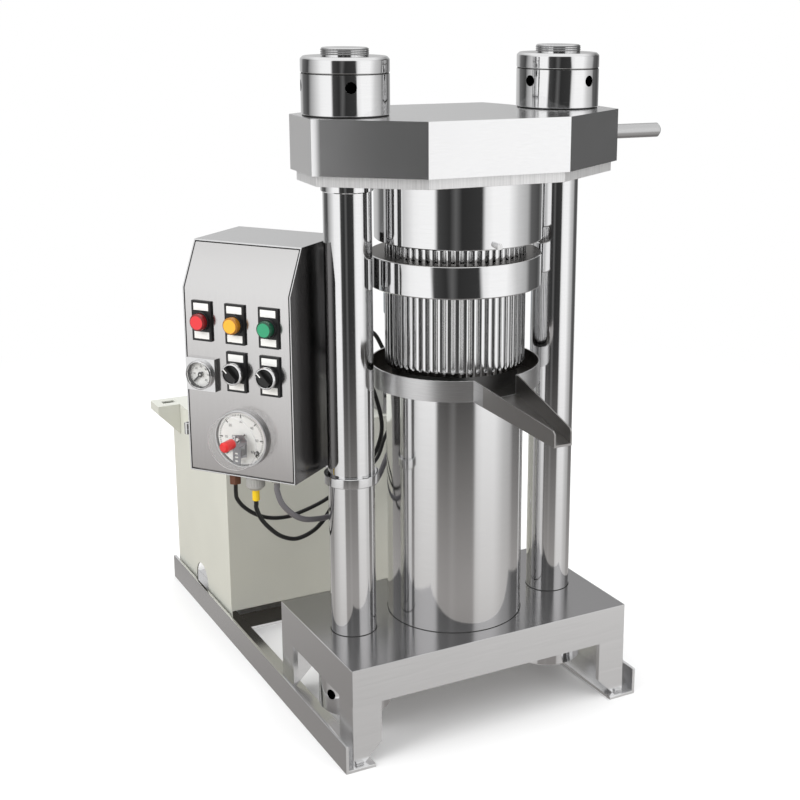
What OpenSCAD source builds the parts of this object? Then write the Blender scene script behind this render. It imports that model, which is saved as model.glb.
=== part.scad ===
// Hydraulic oil press for seed cakes of 180 mm, with its oil tank and control box on one skid.
// Millimetres, +Z up, resting on z = 0. The origin is the middle of the skid's front cross plate,
// on its underside. X runs across the machine, and Y runs back from the press to the tank.

/* [Skid] */
// Length of each rail
rail_length = 845; // [830:1:950]
// Height of a rail's outer flange
rail_height = 46; // [35:1:60]
// Width of a rail's lower flange
rail_width = 50; // [50:1:60]
// Thickness of a rail's flanges
rail_wall = 5; // [3:0.5:8]
// Width of the skid over both rails
skid_width = 534; // [528:1:580]
// Distance that the rails reach in front of the table
rail_overhang = 12; // [5:1:30]
// Width of a cross plate between the rails
cross_plate_width = 60; // [30:1:80]
// Thickness of a cross plate
cross_plate_t = 5; // [3:0.5:8]
// Distance between the middles of the two cross plates
cross_plate_spacing = 240; // [180:1:250]

/* [Table] */
// Width of the table's block
table_width = 500; // [490:1:510]
// Depth of the table's block
table_depth = 286; // [270:1:310]
// Height of the table's top face above the floor
table_top = 162; // [150:1:190]
// Thickness of the table's block
block_t = 61; // [40:1:70]
// Distance from the table's middle back to the origin
table_setback = 416; // [410:1:440]
// Width of each flange of a leg
leg_width = 49; // [35:1:60]
// Thickness of a leg's flanges
leg_wall = 8; // [5:0.5:12]
// Corner cut off the foot of each flange
leg_cut = 29; // [10:1:30]

/* [Columns and nuts] */
// Distance between the two columns
column_spacing = 366; // [356:1:376]
// Diameter of a column
column_d = 73; // [66:0.5:75]
// Distance of the columns in front of the table's middle
column_offset = 4; // [0:0.5:10]
// Diameter of the threaded end of a column
thread_d = 69.5; // [60:0.5:72]
// Outside diameter of a top nut
nut_d = 130; // [115:1:140]
// Height of a top nut
nut_h = 60; // [45:1:75]
// Height of the lock ring on a top nut
lock_ring_h = 23; // [12:1:30]
// Groove between a top nut and its lock ring
nut_groove = 2; // [1:0.5:4]
// Gap between the beam and the top nuts
nut_gap = 2; // [0.5:0.5:4]
// Length of thread that stands above a lock ring
thread_proud = 12; // [4:1:25]
// Diameter of the tommy-bar holes in the nuts
tommy_d = 17; // [8:1:20]
// Depth of the tommy-bar holes
tommy_depth = 18; // [8:1:24]
// Height of the tommy-bar holes above the top nuts' undersides
tommy_up = 41; // [30:1:44]
// Outside diameter of a nut under the table
base_nut_d = 116; // [100:1:126]
// Height of a nut under the table
base_nut_h = 68; // [40:1:80]
// Outside diameter of the collars that carry the beam
collar_d = 78.5; // [77:0.5:95]
// Height of the collars that carry the beam
collar_h = 14; // [8:1:24]

/* [Hydraulic cylinder] */
// Outside diameter of the cylinder
cylinder_d = 220; // [205:1:230]
// Bore of the cylinder round the ram
cylinder_bore = 160; // [156:1:175]
// Thickness of the cylinder's closed foot
cylinder_foot_t = 42; // [25:1:60]
// Diameter of the ram
ram_d = 150; // [140:1:154]
// Length of the ram, which sets how high the cylinder and all above it stand
ram_length = 370; // [340:1:420]
// Outside diameter of the gland in the cylinder's mouth
gland_d = 190; // [182:1:200]
// Depth of the gland's seat in the cylinder
gland_seat = 53; // [30:1:70]
// Height of the gland's neck above the cylinder
gland_neck_h = 18; // [8:1:20]
// Wall of the gland's neck
gland_neck_wall = 10; // [6:0.5:12]
// Height of the ram's seal
seal_h = 9; // [5:0.5:14]
// Depth of the seal's groove
seal_depth = 6; // [4:0.5:7]
// Travel of the ram
ram_stroke = 175; // [120:1:176]
// Thickness of the pressing plate on the ram
plate_t = 22; // [12:1:30]

/* [Pressing barrel] */
// Diameter of the cake, the barrel's bore
cake_d = 180; // [176:1:186]
// Outside diameter of the barrel over its ribs
barrel_d = 222; // [214:1:226]
// Height of the ribbed part of the barrel
barrel_h = 200; // [190:1:230]
// Outside diameter of the seat ring that carries the barrel in the tray
seat_ring_d = 200; // [196:1:206]
// Height of the seat ring
seat_ring_h = 29; // [20:1:34]
// Number of oil slots round the barrel
slot_count = 54; // [40:1:60]
// Width of an oil slot
slot_w = 6.2; // [4:0.2:7.5]
// Depth of an oil slot
slot_depth = 7; // [3:0.5:9]
// Land left under and over the oil slots
slot_land = 5; // [3:0.5:12]
// Outside diameter of the ring round the barrel
ring_d = 272; // [250:1:276]
// Height of the ring round the barrel
ring_h = 50; // [30:1:60]
// Height of the ring's underside above the barrel's bottom edge
ring_up = 126; // [90:1:130]

/* [Oil tray] */
// Outside diameter of the tray
tray_d = 272; // [262:1:276]
// Height of the tray's rim
tray_h = 33; // [26:1:40]
// Thickness of the tray's sheet
tray_sheet = 3; // [2:0.5:4]
// Reach of the spout's lip from the press's axis
spout_reach = 321; // [280:1:340]
// Drop of the spout's edges from the tray to the lip
spout_drop = 30; // [15:1:45]
// Width of the spout at the tray
spout_root_w = 78; // [60:1:90]
// Width of the spout at its lip
spout_lip_w = 30; // [22:1:50]
// Height of the spout's walls at its lip
spout_lip_h = 24; // [14:1:30]

/* [Beam] */
// Reach of the beam's ends beyond the columns' middles
beam_end = 71; // [64:1:84]
// Thickness of the beam
beam_t = 81; // [60:1:95]
// Depth of the beam over the press
beam_depth = 288; // [276:1:300]
// Depth of the beam at its ends
beam_end_depth = 95; // [90:1:130]
// Length of the beam's full-depth middle
beam_middle = 229; // [200:1:250]
// Thickness of the plate under the beam
under_t = 16; // [8:1:24]
// Distance that the under-plate stands back from the beam's edges
under_inset = 8; // [3:0.5:12]
// Diameter of the press head under the beam
head_d = 262; // [240:1:266]
// Diameter of the stop pin in the press head
pin_d = 9; // [5:0.5:10]
// Length of the stop pin outside the press head
pin_out = 12; // [5:0.5:14]
// Diameter of the handle rod
handle_d = 23; // [16:0.5:30]
// Length of the handle rod outside the beam
handle_length = 106; // [70:1:160]
// Gap round the right column in the beam's notch
notch_gap = 3; // [1.5:0.5:4]
// Angle that the beam stands open at rest
beam_turn = 3.4; // [0:0.1:5]

/* [Oil tank] */
// Width of the tank
tank_width = 512; // [490:1:520]
// Depth of the tank
tank_depth = 305; // [290:1:306]
// Height of the tank's cover above the floor
tank_top = 377; // [365:1:385]
// Distance from the tank's front forward to the origin
tank_front = 35; // [30:1:50]
// Thickness of the tank's sheet
tank_sheet = 3; // [2:0.5:5]
// Height of the open foot under the tank's front
tank_foot = 46; // [40:1:60]
// Radius of the arch in each side of the tank
arch_r = 34; // [20:1:40]
// Place of the arches behind the origin
arch_y = 128; // [100:1:160]
// Reach of the lifting ears beyond the tank's sides
ear_out = 43; // [30:1:45]
// Height of the lifting ears
ear_h = 61; // [45:1:80]
// Height of an ear's outer edge
ear_edge = 16; // [8:1:24]
// Length of an ear along the tank
ear_length = 50; // [44:1:80]

/* [Motor and pump] */
// Diameter of the drive motor
motor_d = 136; // [120:1:140]
// Height of the motor's finned body
motor_h = 170; // [140:1:200]
// Height of the motor's fan cover
fan_cover_h = 46; // [30:1:60]
// Distance from the motor's axis to the tank's right side
motor_inset = 76; // [72:1:84]
// Place of the motor behind the tank's front
motor_back = 96; // [90:1:110]
// Number of cooling fins round the motor
fin_count = 32; // [20:1:40]
// Diameter of the gear pump under the motor
pump_d = 92; // [70:1:110]
// Length of the gear pump
pump_h = 125; // [90:1:150]
// Outside diameter of the pressure pipe
pipe_d = 14; // [10:1:16]

/* [Control box] */
// Width of the box
box_width = 187; // [180:1:200]
// Depth of the box
box_depth = 164; // [150:1:170]
// Height of the box's upright front
box_front_h = 291; // [285:1:310]
// Height of the sloping panel over the front
box_slope_h = 68; // [50:1:80]
// Depth of the sloping panel
box_slope_d = 37; // [25:1:50]
// Thickness of the box's sheet
box_sheet = 2; // [1.5:0.1:3]
// Gap between the box's front and the edges of its body
door_gap = 1.5; // [1:0.1:3]
// Depth of the front's folded edges
door_depth = 10; // [8:1:20]
// Angle that the box's front is turned to the left
box_turn = 52; // [48:0.5:56]
// Height of the clamp collar on the left column above the floor
clamp_z = 411; // [400:1:425]
// Height of the clamp collar
clamp_h = 16; // [10:1:24]
// Outside diameter of the clamp collar
clamp_d = 86.5; // [82:0.5:92]
// Thickness of the arm that carries the box
arm_t = 6; // [4:0.5:8]
// Width of the arm that carries the box
arm_width = 24; // [16:1:30]
// Distance of the arm's middle behind the column's axis
arm_back = 25; // [16:1:28]
// Reach of the arm from the column's axis
arm_reach = 130; // [80:1:150]

/* [Panel] */
// Width of a label plate
label_w = 34; // [28:1:38]
// Height of a label plate
label_h = 62; // [52:1:66]
// Thickness of a label plate
label_t = 4; // [3:0.5:6]
// Distance between two columns of devices
device_pitch = 58; // [56:1:62]
// Height of the lamps above the box's foot
lamp_row = 242; // [238:1:248]
// Height of the selectors above the box's foot
selector_row = 168; // [160:1:172]
// Diameter of a lamp's lens
lamp_d = 26; // [20:0.5:28]
// Height of a lamp's lens
lamp_h = 14; // [8:0.5:16]
// Outside diameter of the bezel round a lamp
bezel_d = 30; // [28:0.5:34]
// Height of the bezel round a lamp
bezel_h = 5; // [3:0.5:8]
// Diameter of a selector's knob
knob_d = 27; // [22:0.5:30]
// Side of the small gauge's square frame
gauge_side = 51; // [48:1:54]
// Thickness of the small gauge's frame
gauge_frame_t = 8; // [5:0.5:12]
// Diameter of the small gauge's case
gauge_d = 45; // [38:1:47]
// Diameter of the contact gauge's case
contact_d = 91; // [88:1:96]
// Diameter of the clear cover on the contact gauge
cover_d = 86; // [80:1:87]
// Height of the contact gauge's case
contact_case_h = 8; // [6:0.5:14]
// Height of the clear cover's front above the panel
contact_h = 32; // [26:1:46]
// Height of the contact gauge's middle above the box's foot
contact_row = 64; // [60:1:70]
// Diameter of the red setting knob
setting_d = 16; // [9:0.5:18]
// Length of the red setting knob
setting_h = 23; // [14:1:28]

/* [Cables] */
// Diameter of the hose to the gauges
hose_d = 6.5; // [4:0.5:8]
// Diameter of the supply cable
supply_d = 7; // [5:0.5:9]
// Diameter of the grey control cable
control_d = 9; // [6:0.5:10]
// Height of the hose fitting under the box
fitting_h = 17; // [10:1:20]
// Diameter of the cable gland under the box
gland_nut_d = 29; // [20:1:32]
// Height of the cable gland under the box
gland_nut_h = 22; // [16:1:26]
// Length of the yellow sleeve
sleeve_h = 19; // [12:1:24]
// Diameter of the grommet round the grey control cable
grommet_d = 20; // [14:1:24]
// Height of the grommet
grommet_h = 6; // [3:0.5:10]

/* [Hidden] */

$fn = 96;
// Overshoot of a cut beyond the face it opens
eps = 1;
// Radial gap of a sliding or turning fit
run = 0.06;
// Gap between flat faces that slide past each other
slide = 0.3;

// Places in plan
table_y = -table_setback;
press_y = table_y - column_offset;
left_x = -column_spacing / 2;
right_x = column_spacing / 2;
beam_length = column_spacing + 2 * beam_end;
rail_front = table_y - table_depth / 2 - rail_overhang;
tank_y0 = -tank_front;
tank_y1 = tank_y0 + tank_depth;
motor_x = tank_width / 2 - motor_inset;
motor_y = tank_y0 + motor_back;
rail_inside = skid_width / 2 - rail_wall;

// Gaps under the lowered ram and between the gland and the lowered pressing plate
ram_foot_gap = 1;
plate_gap = 4;

// Heights, from the floor up
block_z = table_top - block_t;
cylinder_floor = table_top + cylinder_foot_t;
ram_z = cylinder_floor + ram_foot_gap;
plate_z = ram_z + ram_length;
neck_top = plate_z - plate_gap;
tray_z = neck_top - gland_neck_h;
tray_rim = tray_z + tray_h;
tray_floor = tray_z + tray_sheet;
barrel_z = tray_floor + seat_ring_h;
barrel_top = barrel_z + barrel_h;
head_z = barrel_top + slide;
head_h = 95;
under_z = head_z + head_h;
beam_z = under_z + under_t;
beam_top = beam_z + beam_t;
nut_z = beam_top + nut_gap;
lock_z = nut_z + nut_h;
lock_top = lock_z + lock_ring_h;
column_end = lock_top + thread_proud;
base_nut_z = block_z - base_nut_h;
collar_z = under_z - slide - collar_h;
box_z = clamp_z + clamp_h;
port_z = cylinder_floor + 22;

// The box's front left foot, seen from its front
box_x = -400.5;
box_y = -294;
box_h = box_front_h + box_slope_h;
// Columns of devices across the panel
device_u = [34, 34 + device_pitch, 34 + 2 * device_pitch];
gauge_u = 31;
gauge_v = 159;
contact_u = 97;
// Level of the tank's inner floor, clear of the arches in its sides
tank_floor = tank_foot + arch_r + 10;

module ring(outer, inner, h) {
    difference() {
        cylinder(d = outer, h = h);
        translate([0, 0, -eps]) cylinder(d = inner, h = h + 2 * eps);
    }
}

module tube(d, wall, h) ring(d, d - 2 * wall, h);

// Cylinder with a chamfer at its top, its foot or both
module chamfered(d, h, top = 0, foot = 0) {
    rotate_extrude()
        polygon([[0, 0], [d / 2 - foot, 0], [d / 2, foot], [d / 2, h - top], [d / 2 - top, h], [0, h]]);
}

module at_columns() {
    for (x = [left_x, right_x]) translate([x, press_y, 0]) children();
}

module at_press() translate([0, press_y, 0]) children();

// Puts its children at the press's axis, turned open round the left column
module on_beam() {
    translate([left_x, press_y, 0]) rotate([0, 0, -beam_turn]) translate([-left_x, 0, 0]) children();
}

// Puts its children in the box's own frame: X across the front, Y into the box
module in_box() translate([box_x, box_y, box_z]) rotate([0, 0, -box_turn]) children();

// Puts its children on the panel at (u, v), with +Z out of the panel
module on_panel(u, v) in_box() translate([u, 0, v]) rotate([90, 0, 0]) children();

/* Skid */

// One rail, its outer flange at x = 0 and its lower flange towards +X
module rail_shape() {
    translate([0, rail_front, 0]) rotate([90, 0, 0]) mirror([0, 0, 1])
        linear_extrude(rail_length)
            polygon([[0, 0], [rail_width, 0], [rail_width, rail_wall], [rail_wall, rail_wall],
                [rail_wall, rail_height], [0, rail_height]]);
}

module left_rail() color("silver") translate([-skid_width / 2, 0, 0]) rail_shape();

module right_rail() color("silver") mirror([1, 0, 0]) translate([-skid_width / 2, 0, 0]) rail_shape();

module cross_plates() {
    span = skid_width - 2 * rail_width;
    color("silver")
        for (y = [0, cross_plate_spacing])
            translate([-span / 2, y - cross_plate_width / 2, 0])
                cube([span, cross_plate_width, cross_plate_t]);
}

/* Table */

// One flange of a leg, from the block down to the rail, with its inner foot corner cut off
module leg_flange() {
    h = block_z - rail_wall;
    rotate([90, 0, 0]) mirror([0, 0, 1]) linear_extrude(leg_wall)
        polygon([[0, 0], [leg_width - leg_cut, 0], [leg_width, leg_cut], [leg_width, h], [0, h]]);
}

module leg() {
    translate([0, 0, rail_wall]) {
        leg_flange();
        mirror([1, -1, 0]) leg_flange();
    }
}

module table_legs() {
    color("silver")
        for (mx = [0, 1]) for (my = [0, 1])
            translate([0, table_y, 0]) mirror([mx, 0, 0]) mirror([0, my, 0])
                translate([-table_width / 2, -table_depth / 2, 0]) leg();
}

module base_block() {
    color("silver") difference() {
        translate([-table_width / 2, table_y - table_depth / 2, block_z])
            cube([table_width, table_depth, block_t]);
        at_columns() translate([0, 0, block_z - eps]) cylinder(d = column_d, h = block_t + 2 * eps);
    }
}

/* Columns and nuts */

module column() {
    color("silver") {
        translate([0, 0, base_nut_z]) cylinder(d = column_d, h = nut_z - base_nut_z);
        translate([0, 0, nut_z]) chamfered(thread_d, column_end - nut_z, top = 2);
    }
}

module left_column() translate([left_x, press_y, 0]) column();

module right_column() translate([right_x, press_y, 0]) column();

module tommy_holes(d, z) {
    for (a = [45:90:315])
        rotate([0, 0, a]) translate([d / 2 - tommy_depth, 0, z]) rotate([0, 90, 0])
            cylinder(d = tommy_d, h = tommy_depth + eps, $fn = 32);
}

// Turn at which the nuts under the table stopped
base_nut_turn = -20;

module base_nuts() {
    color("gainsboro") at_columns() translate([0, 0, base_nut_z]) difference() {
        chamfered(base_nut_d, base_nut_h, foot = 2);
        translate([0, 0, -eps]) cylinder(d = column_d, h = base_nut_h + 2 * eps);
        rotate([0, 0, base_nut_turn]) tommy_holes(base_nut_d, base_nut_h / 2);
    }
}

// Turn at which each top nut stopped when it was tightened, left and right
nut_turn = [28, -28.5];

module top_nuts() {
    for (i = [0, 1]) translate([[left_x, right_x][i], press_y, nut_z]) rotate([0, 0, nut_turn[i]]) top_nut();
}

module top_nut() {
    color("gainsboro") difference() {
        rotate_extrude() polygon([[0, 0], [nut_d / 2 - 1, 0], [nut_d / 2, 1],
            [nut_d / 2, nut_h - nut_groove], [nut_d / 2 - nut_groove, nut_h - nut_groove],
            [nut_d / 2 - nut_groove, nut_h], [0, nut_h]]);
        translate([0, 0, -eps]) cylinder(d = thread_d, h = nut_h + 2 * eps);
        tommy_holes(nut_d, tommy_up);
    }
}

module lock_rings() {
    color("gainsboro") at_columns() translate([0, 0, lock_z]) difference() {
        chamfered(nut_d, lock_ring_h, top = 4);
        translate([0, 0, -eps]) cylinder(d = thread_d, h = lock_ring_h + 2 * eps);
    }
}

module column_collars() {
    color("gainsboro") at_columns() translate([0, 0, collar_z]) difference() {
        chamfered(collar_d, collar_h, foot = 1.5);
        translate([0, 0, -eps]) cylinder(d = column_d, h = collar_h + 2 * eps);
    }
}

/* Hydraulic cylinder */

module hydraulic_cylinder() {
    h = tray_z - table_top;
    color("silver") at_press() translate([0, 0, table_top]) difference() {
        cylinder(d = cylinder_d, h = h);
        translate([0, 0, cylinder_foot_t]) cylinder(d = cylinder_bore, h = h);
        translate([0, 0, h - gland_seat]) cylinder(d = gland_d, h = gland_seat + eps);
        translate([0, 0, port_z - table_top]) rotate([-90, 0, 0])
            cylinder(d = pipe_d, h = cylinder_d, $fn = 32);
    }
}

// Seal groove in the gland, halfway up its seat
seal_z = tray_z - gland_seat / 2;

module cylinder_gland() {
    neck_d = ram_d + 2 * gland_neck_wall;
    color("gray") at_press() difference() {
        union() {
            translate([0, 0, tray_z - gland_seat]) cylinder(d = gland_d, h = gland_seat);
            translate([0, 0, tray_z]) cylinder(d = neck_d, h = gland_neck_h);
        }
        translate([0, 0, tray_z - gland_seat - eps])
            cylinder(r = ram_d / 2 + run, h = gland_seat + gland_neck_h + 2 * eps);
        translate([0, 0, seal_z]) cylinder(r = ram_d / 2 + run + seal_depth, h = seal_h);
    }
}

module ram_seal() {
    color("black") at_press() translate([0, 0, seal_z])
        ring(ram_d + 2 * (run + seal_depth), ram_d + 2 * run, seal_h);
}

module ram() {
    color("gainsboro") at_press() translate([0, 0, ram_z]) chamfered(ram_d, ram_length, foot = 3);
}

module pressing_plate() {
    color("gray") at_press() translate([0, 0, plate_z])
        chamfered(cake_d - 2 * run, plate_t, top = 1.5, foot = 1.5);
}

/* Oil tray */

module oil_tray() {
    color("silver") at_press() difference() {
        translate([0, 0, tray_z]) cylinder(d = tray_d, h = tray_h);
        translate([0, 0, tray_floor]) cylinder(d = tray_d - 2 * tray_sheet, h = tray_h);
        translate([0, 0, tray_z - eps])
            cylinder(d = ram_d + 2 * gland_neck_wall, h = tray_sheet + 2 * eps);
        translate([-spout_root_w / 2 + tray_sheet, -tray_d / 2 - eps, tray_floor])
            cube([spout_root_w - 2 * tray_sheet, tray_d / 2, tray_h]);
    }
}

// The spout's whole form, or the space between its folded walls: its plan meets its side view
module spout_shape(inset, below, above) {
    y0 = -tray_d / 2;
    y1 = -spout_reach - inset;
    root = spout_root_w / 2 - inset;
    lip = spout_lip_w / 2 - inset;
    lip_top = tray_rim - spout_drop + above;
    lip_z = tray_rim - spout_drop - spout_lip_h + below;
    intersection() {
        translate([0, 0, tray_z - 2 * tray_h]) linear_extrude(4 * tray_h)
            polygon([[-root, y0 + 20], [root, y0 + 20], [root, y0], [lip, y1], [-lip, y1], [-root, y0]]);
        translate([-spout_root_w, 0, 0]) rotate([90, 0, 90]) linear_extrude(2 * spout_root_w)
            polygon([[y0 + 20, tray_z + below], [y0, tray_z + below], [y1, lip_z], [y1, lip_top - 4],
                [y1 + 4, lip_top + spout_drop * 4 / (spout_reach - tray_d / 2)],
                [y0, tray_rim + above], [y0 + 20, tray_rim + above]]);
    }
}

module tray_spout() {
    color("silver") at_press() difference() {
        spout_shape(0, 0, 0);
        spout_shape(tray_sheet, tray_sheet, tray_h);
        translate([0, 0, tray_z - tray_h]) cylinder(d = tray_d, h = 3 * tray_h);
    }
}

/* Pressing barrel */

// Round-ended slot cut from the outside towards the axis
module oil_slot() {
    h = barrel_h - 2 * slot_land - slot_w;
    depth = slot_depth + eps;
    translate([barrel_d / 2 - slot_depth, 0, slot_land + slot_w / 2]) {
        translate([0, -slot_w / 2, 0]) cube([depth, slot_w, h]);
        for (z = [0, h])
            translate([0, 0, z]) rotate([0, 90, 0]) cylinder(d = slot_w, h = depth, $fn = 16);
    }
}

module pressing_barrel() {
    color("gainsboro") at_press() translate([0, 0, barrel_z]) difference() {
        ring(barrel_d, cake_d, barrel_h);
        for (i = [0:slot_count - 1]) rotate([0, 0, i * 360 / slot_count]) oil_slot();
    }
}

module seat_ring() {
    color("gray") at_press() translate([0, 0, tray_floor]) ring(seat_ring_d, cake_d, seat_ring_h);
}

module barrel_ring() {
    color("silver") at_press() translate([0, 0, barrel_z + ring_up]) difference() {
        chamfered(ring_d, ring_h, top = 1.5, foot = 1.5);
        translate([0, 0, -eps]) cylinder(d = barrel_d, h = ring_h + 2 * eps);
    }
}

/* Beam */

// Outline of the beam, drawn in by inset on every side
module beam_outline(inset = 0) {
    a = beam_length / 2 - inset;
    b = beam_end_depth / 2 - inset / 2;
    c = beam_middle / 2 - inset / 2;
    d = beam_depth / 2 - inset;
    polygon([[-a, -b], [-c, -d], [c, -d], [a, -b], [a, b], [c, d], [-c, d], [-a, b]]);
}

// Bore for the left column, and the curved notch that leaves the right column at the back
module column_way(z, h) {
    r = column_d / 2 + notch_gap;
    reach = beam_length;
    translate([left_x, 0, z - eps]) cylinder(r = column_d / 2 + run, h = h + 2 * eps);
    translate([left_x, 0, z - eps]) {
        for (a = [0, beam_turn])
            rotate([0, 0, a]) translate([column_spacing, 0, 0]) cylinder(r = r, h = h + 2 * eps);
        rotate_extrude(angle = 40)
            translate([column_spacing - r, 0]) square([2 * r, h + 2 * eps]);
    }
}

module beam() {
    color("silver") on_beam() difference() {
        translate([0, 0, beam_z]) linear_extrude(beam_t) beam_outline();
        column_way(beam_z, beam_t);
        translate([beam_length / 2 - handle_seat, 0, beam_z + beam_t / 2]) rotate([0, 90, 0])
            cylinder(d = handle_neck_d, h = handle_seat + eps, $fn = 48);
    }
}

// The handle's narrower neck, its seat in the beam's end and the length of neck that shows
handle_neck_d = handle_d - 5;
handle_seat = 20;
handle_neck = 1.5;

module beam_under_plate() {
    color("silver") on_beam() difference() {
        translate([0, 0, under_z]) linear_extrude(under_t) beam_outline(under_inset);
        column_way(under_z, under_t);
    }
}

module press_head() {
    color("silver") on_beam() difference() {
        translate([0, 0, head_z]) chamfered(head_d, head_h, foot = 1.5);
        translate([0, -head_d / 2 + pin_seat, pin_z]) rotate([90, 0, 0])
            cylinder(d = pin_d, h = pin_seat + eps, $fn = 32);
    }
}

// Depth and height of the stop pin in the head
pin_seat = 12;
pin_z = head_z + 6.5;

module head_pin() {
    color("gainsboro") on_beam() translate([0, -head_d / 2 + pin_seat, pin_z]) rotate([90, 0, 0])
        cylinder(d = pin_d, h = pin_seat + pin_out, $fn = 32);
}

module handle_rod() {
    color("gainsboro") on_beam() translate([beam_length / 2, 0, beam_z + beam_t / 2]) rotate([0, 90, 0]) {
        translate([0, 0, -handle_seat]) cylinder(d = handle_neck_d, h = handle_seat + handle_neck, $fn = 48);
        translate([0, 0, handle_neck]) chamfered(handle_d, handle_length - handle_neck, top = 3, $fn = 48);
    }
}

/* Oil tank */

module tank_body() {
    w = tank_width;
    s = tank_sheet;
    top = tank_top - s;
    color("honeydew") difference() {
        translate([-w / 2, tank_y0, rail_wall]) cube([w, tank_depth, top - rail_wall]);
        // Inside of the tank
        translate([-w / 2 + s, tank_y0 + s, tank_floor])
            cube([w - 2 * s, tank_depth - 2 * s, top - tank_floor + eps]);
        // Under the tank's floor, between its side plates
        translate([-w / 2 + s, tank_y0 + s, rail_wall - eps])
            cube([w - 2 * s, tank_depth - 2 * s, tank_floor - s - rail_wall + eps]);
        // Open foot at the front and at the back
        translate([-w / 2 + s, tank_y0 - eps, rail_wall - eps])
            cube([w - 2 * s, tank_depth + 2 * eps, tank_foot - rail_wall + eps]);
        // Arches in the side plates
        translate([-w / 2 - eps, arch_y, tank_foot]) rotate([0, 90, 0])
            cylinder(r = arch_r, h = s + 2 * eps);
        translate([w / 2 - s - eps, arch_y, tank_foot]) rotate([0, 90, 0])
            cylinder(r = arch_r, h = s + 2 * eps);
        for (x = [-w / 2 - eps, w / 2 - s - eps])
            translate([x, arch_y - arch_r, rail_wall - eps])
                cube([s + 2 * eps, 2 * arch_r, tank_foot - rail_wall + eps]);
    }
}

module tank_cover() {
    color("honeydew") difference() {
        translate([-tank_width / 2, tank_y0, tank_top - tank_sheet])
            cube([tank_width, tank_depth, tank_sheet]);
        translate([motor_x, motor_y, tank_top - tank_sheet - eps])
            cylinder(d = pump_d, h = tank_sheet + 2 * eps);
    }
}

// Bent ear at the back of each side, open under its top flange
module ear() {
    s = tank_sheet;
    low = tank_top - ear_h;
    module side(x0)
        polygon([[x0, low], [-ear_out, tank_top - ear_edge], [-ear_out, tank_top], [x0, tank_top]]);
    module hollow() polygon([[-s, low + 2.4 * s], [-ear_out + s, tank_top - ear_edge + 0.4 * s],
        [-ear_out + s, tank_top - s], [-s, tank_top - s]]);
    difference() {
        rotate([90, 0, 0]) mirror([0, 0, 1]) linear_extrude(ear_length) side(0);
        translate([0, s, 0]) rotate([90, 0, 0]) mirror([0, 0, 1]) linear_extrude(ear_length - 2 * s) hollow();
        // Hand slot in the top flange
        translate([-ear_out + 16, ear_length / 2 - 7, tank_top - s - eps])
            cube([ear_out - 16 - s, 14, s + 2 * eps]);
    }
}

module lifting_ears() {
    color("honeydew") for (m = [0, 1])
        mirror([m, 0, 0]) translate([-tank_width / 2, tank_y1 - ear_length, 0]) ear();
}

/* Motor and pump */

module drive_motor() {
    foot_h = 14;
    core = motor_d / 2 - 10;
    fin = 3;
    color("lightsteelblue") translate([motor_x, motor_y, tank_top]) {
        cylinder(d = motor_d, h = foot_h);
        cylinder(r = core, h = motor_h);
        for (i = [0:fin_count - 1])
            rotate([0, 0, (i + 0.5) * 360 / fin_count]) translate([core - 2, -fin / 2, foot_h - 2])
                cube([9, fin, motor_h - foot_h + 2 - 0.5]);
    }
}

module motor_fan_cover() {
    z = tank_top + motor_h;
    color("dimgray") translate([motor_x, motor_y, z]) difference() {
        chamfered(motor_d, fan_cover_h, top = 8);
        for (i = [0:11])
            rotate([0, 0, i * 30]) translate([20, -2.5, fan_cover_h - 8]) cube([28, 5, 8 + eps]);
    }
}

// The terminal box stands on the motor's front
terminal = [74, 34, 62];
terminal_z = tank_top + 84;
terminal_y = motor_y - motor_d / 2 - terminal[1] + 4;

module terminal_box() {
    color("lightsteelblue") difference() {
        translate([motor_x - terminal[0] / 2, terminal_y, terminal_z]) cube(terminal);
        translate([motor_x, motor_y, terminal_z - eps])
            cylinder(d = motor_d, h = terminal[2] + 2 * eps);
    }
}

// The valve block stands on the cover, beside the motor
valve = [44, 60, 52];
valve_x = motor_x - motor_d / 2 - valve[0] / 2 - 6;

module valve_block() {
    color("gray") translate([valve_x - valve[0] / 2, tank_y0 + 12, tank_top]) cube(valve);
}

module gear_pump() {
    color("gray") translate([motor_x, motor_y, tank_top - pump_h]) cylinder(d = pump_d, h = pump_h);
}

/* Cables and pipe */

function unit(v) = v / norm(v);
// Direction of the route at point i
function heading(p, i) = unit(p[min(i + 1, len(p) - 1)] - p[max(i - 1, 0)]);
// Side vector at each point, carried along the route without twist
function sides(p, i = 0, last = [0, 0, 0]) =
    i == len(p) ? [] :
    let (t = heading(p, i), s = i == 0 ? cross(t, [0.3, 1, 0.2]) : last - (last * t) * t)
    concat([unit(s)], sides(p, i + 1, unit(s)));
// Point at parameter t on the smooth curve through four route points
function curve(a, b, c, d, t) =
    0.5 * (2 * b + (c - a) * t + (2 * a - 5 * b + 4 * c - d) * t * t + (3 * b - a - 3 * c + d) * t * t * t);
// The route with extra points on a smooth curve between its own
function smooth(p, n = 2) = concat(
    [for (i = [0:len(p) - 2]) for (k = [0:n - 1])
        curve(p[max(i - 1, 0)], p[i], p[i + 1], p[min(i + 2, len(p) - 1)], k / n)],
    [p[len(p) - 1]]);

// Tube of diameter d along a route
module swept(route, d, faces = 8) {
    p = smooth(route);
    n = len(p);
    s = sides(p);
    points = [for (i = [0:n - 1]) let (t = heading(p, i), u = s[i], v = cross(t, u))
        for (k = [0:faces - 1]) p[i] + d / 2 * (cos(k * 360 / faces) * u + sin(k * 360 / faces) * v)];
    skin = [for (i = [0:n - 2]) for (k = [0:faces - 1]) let (m = (k + 1) % faces)
        [i * faces + k, (i + 1) * faces + k, (i + 1) * faces + m, i * faces + m]];
    polyhedron(points = points, faces = concat(skin,
        [[for (k = [0:faces - 1]) k]], [[for (k = [faces - 1:-1:0]) (n - 1) * faces + k]]));
}

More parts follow.
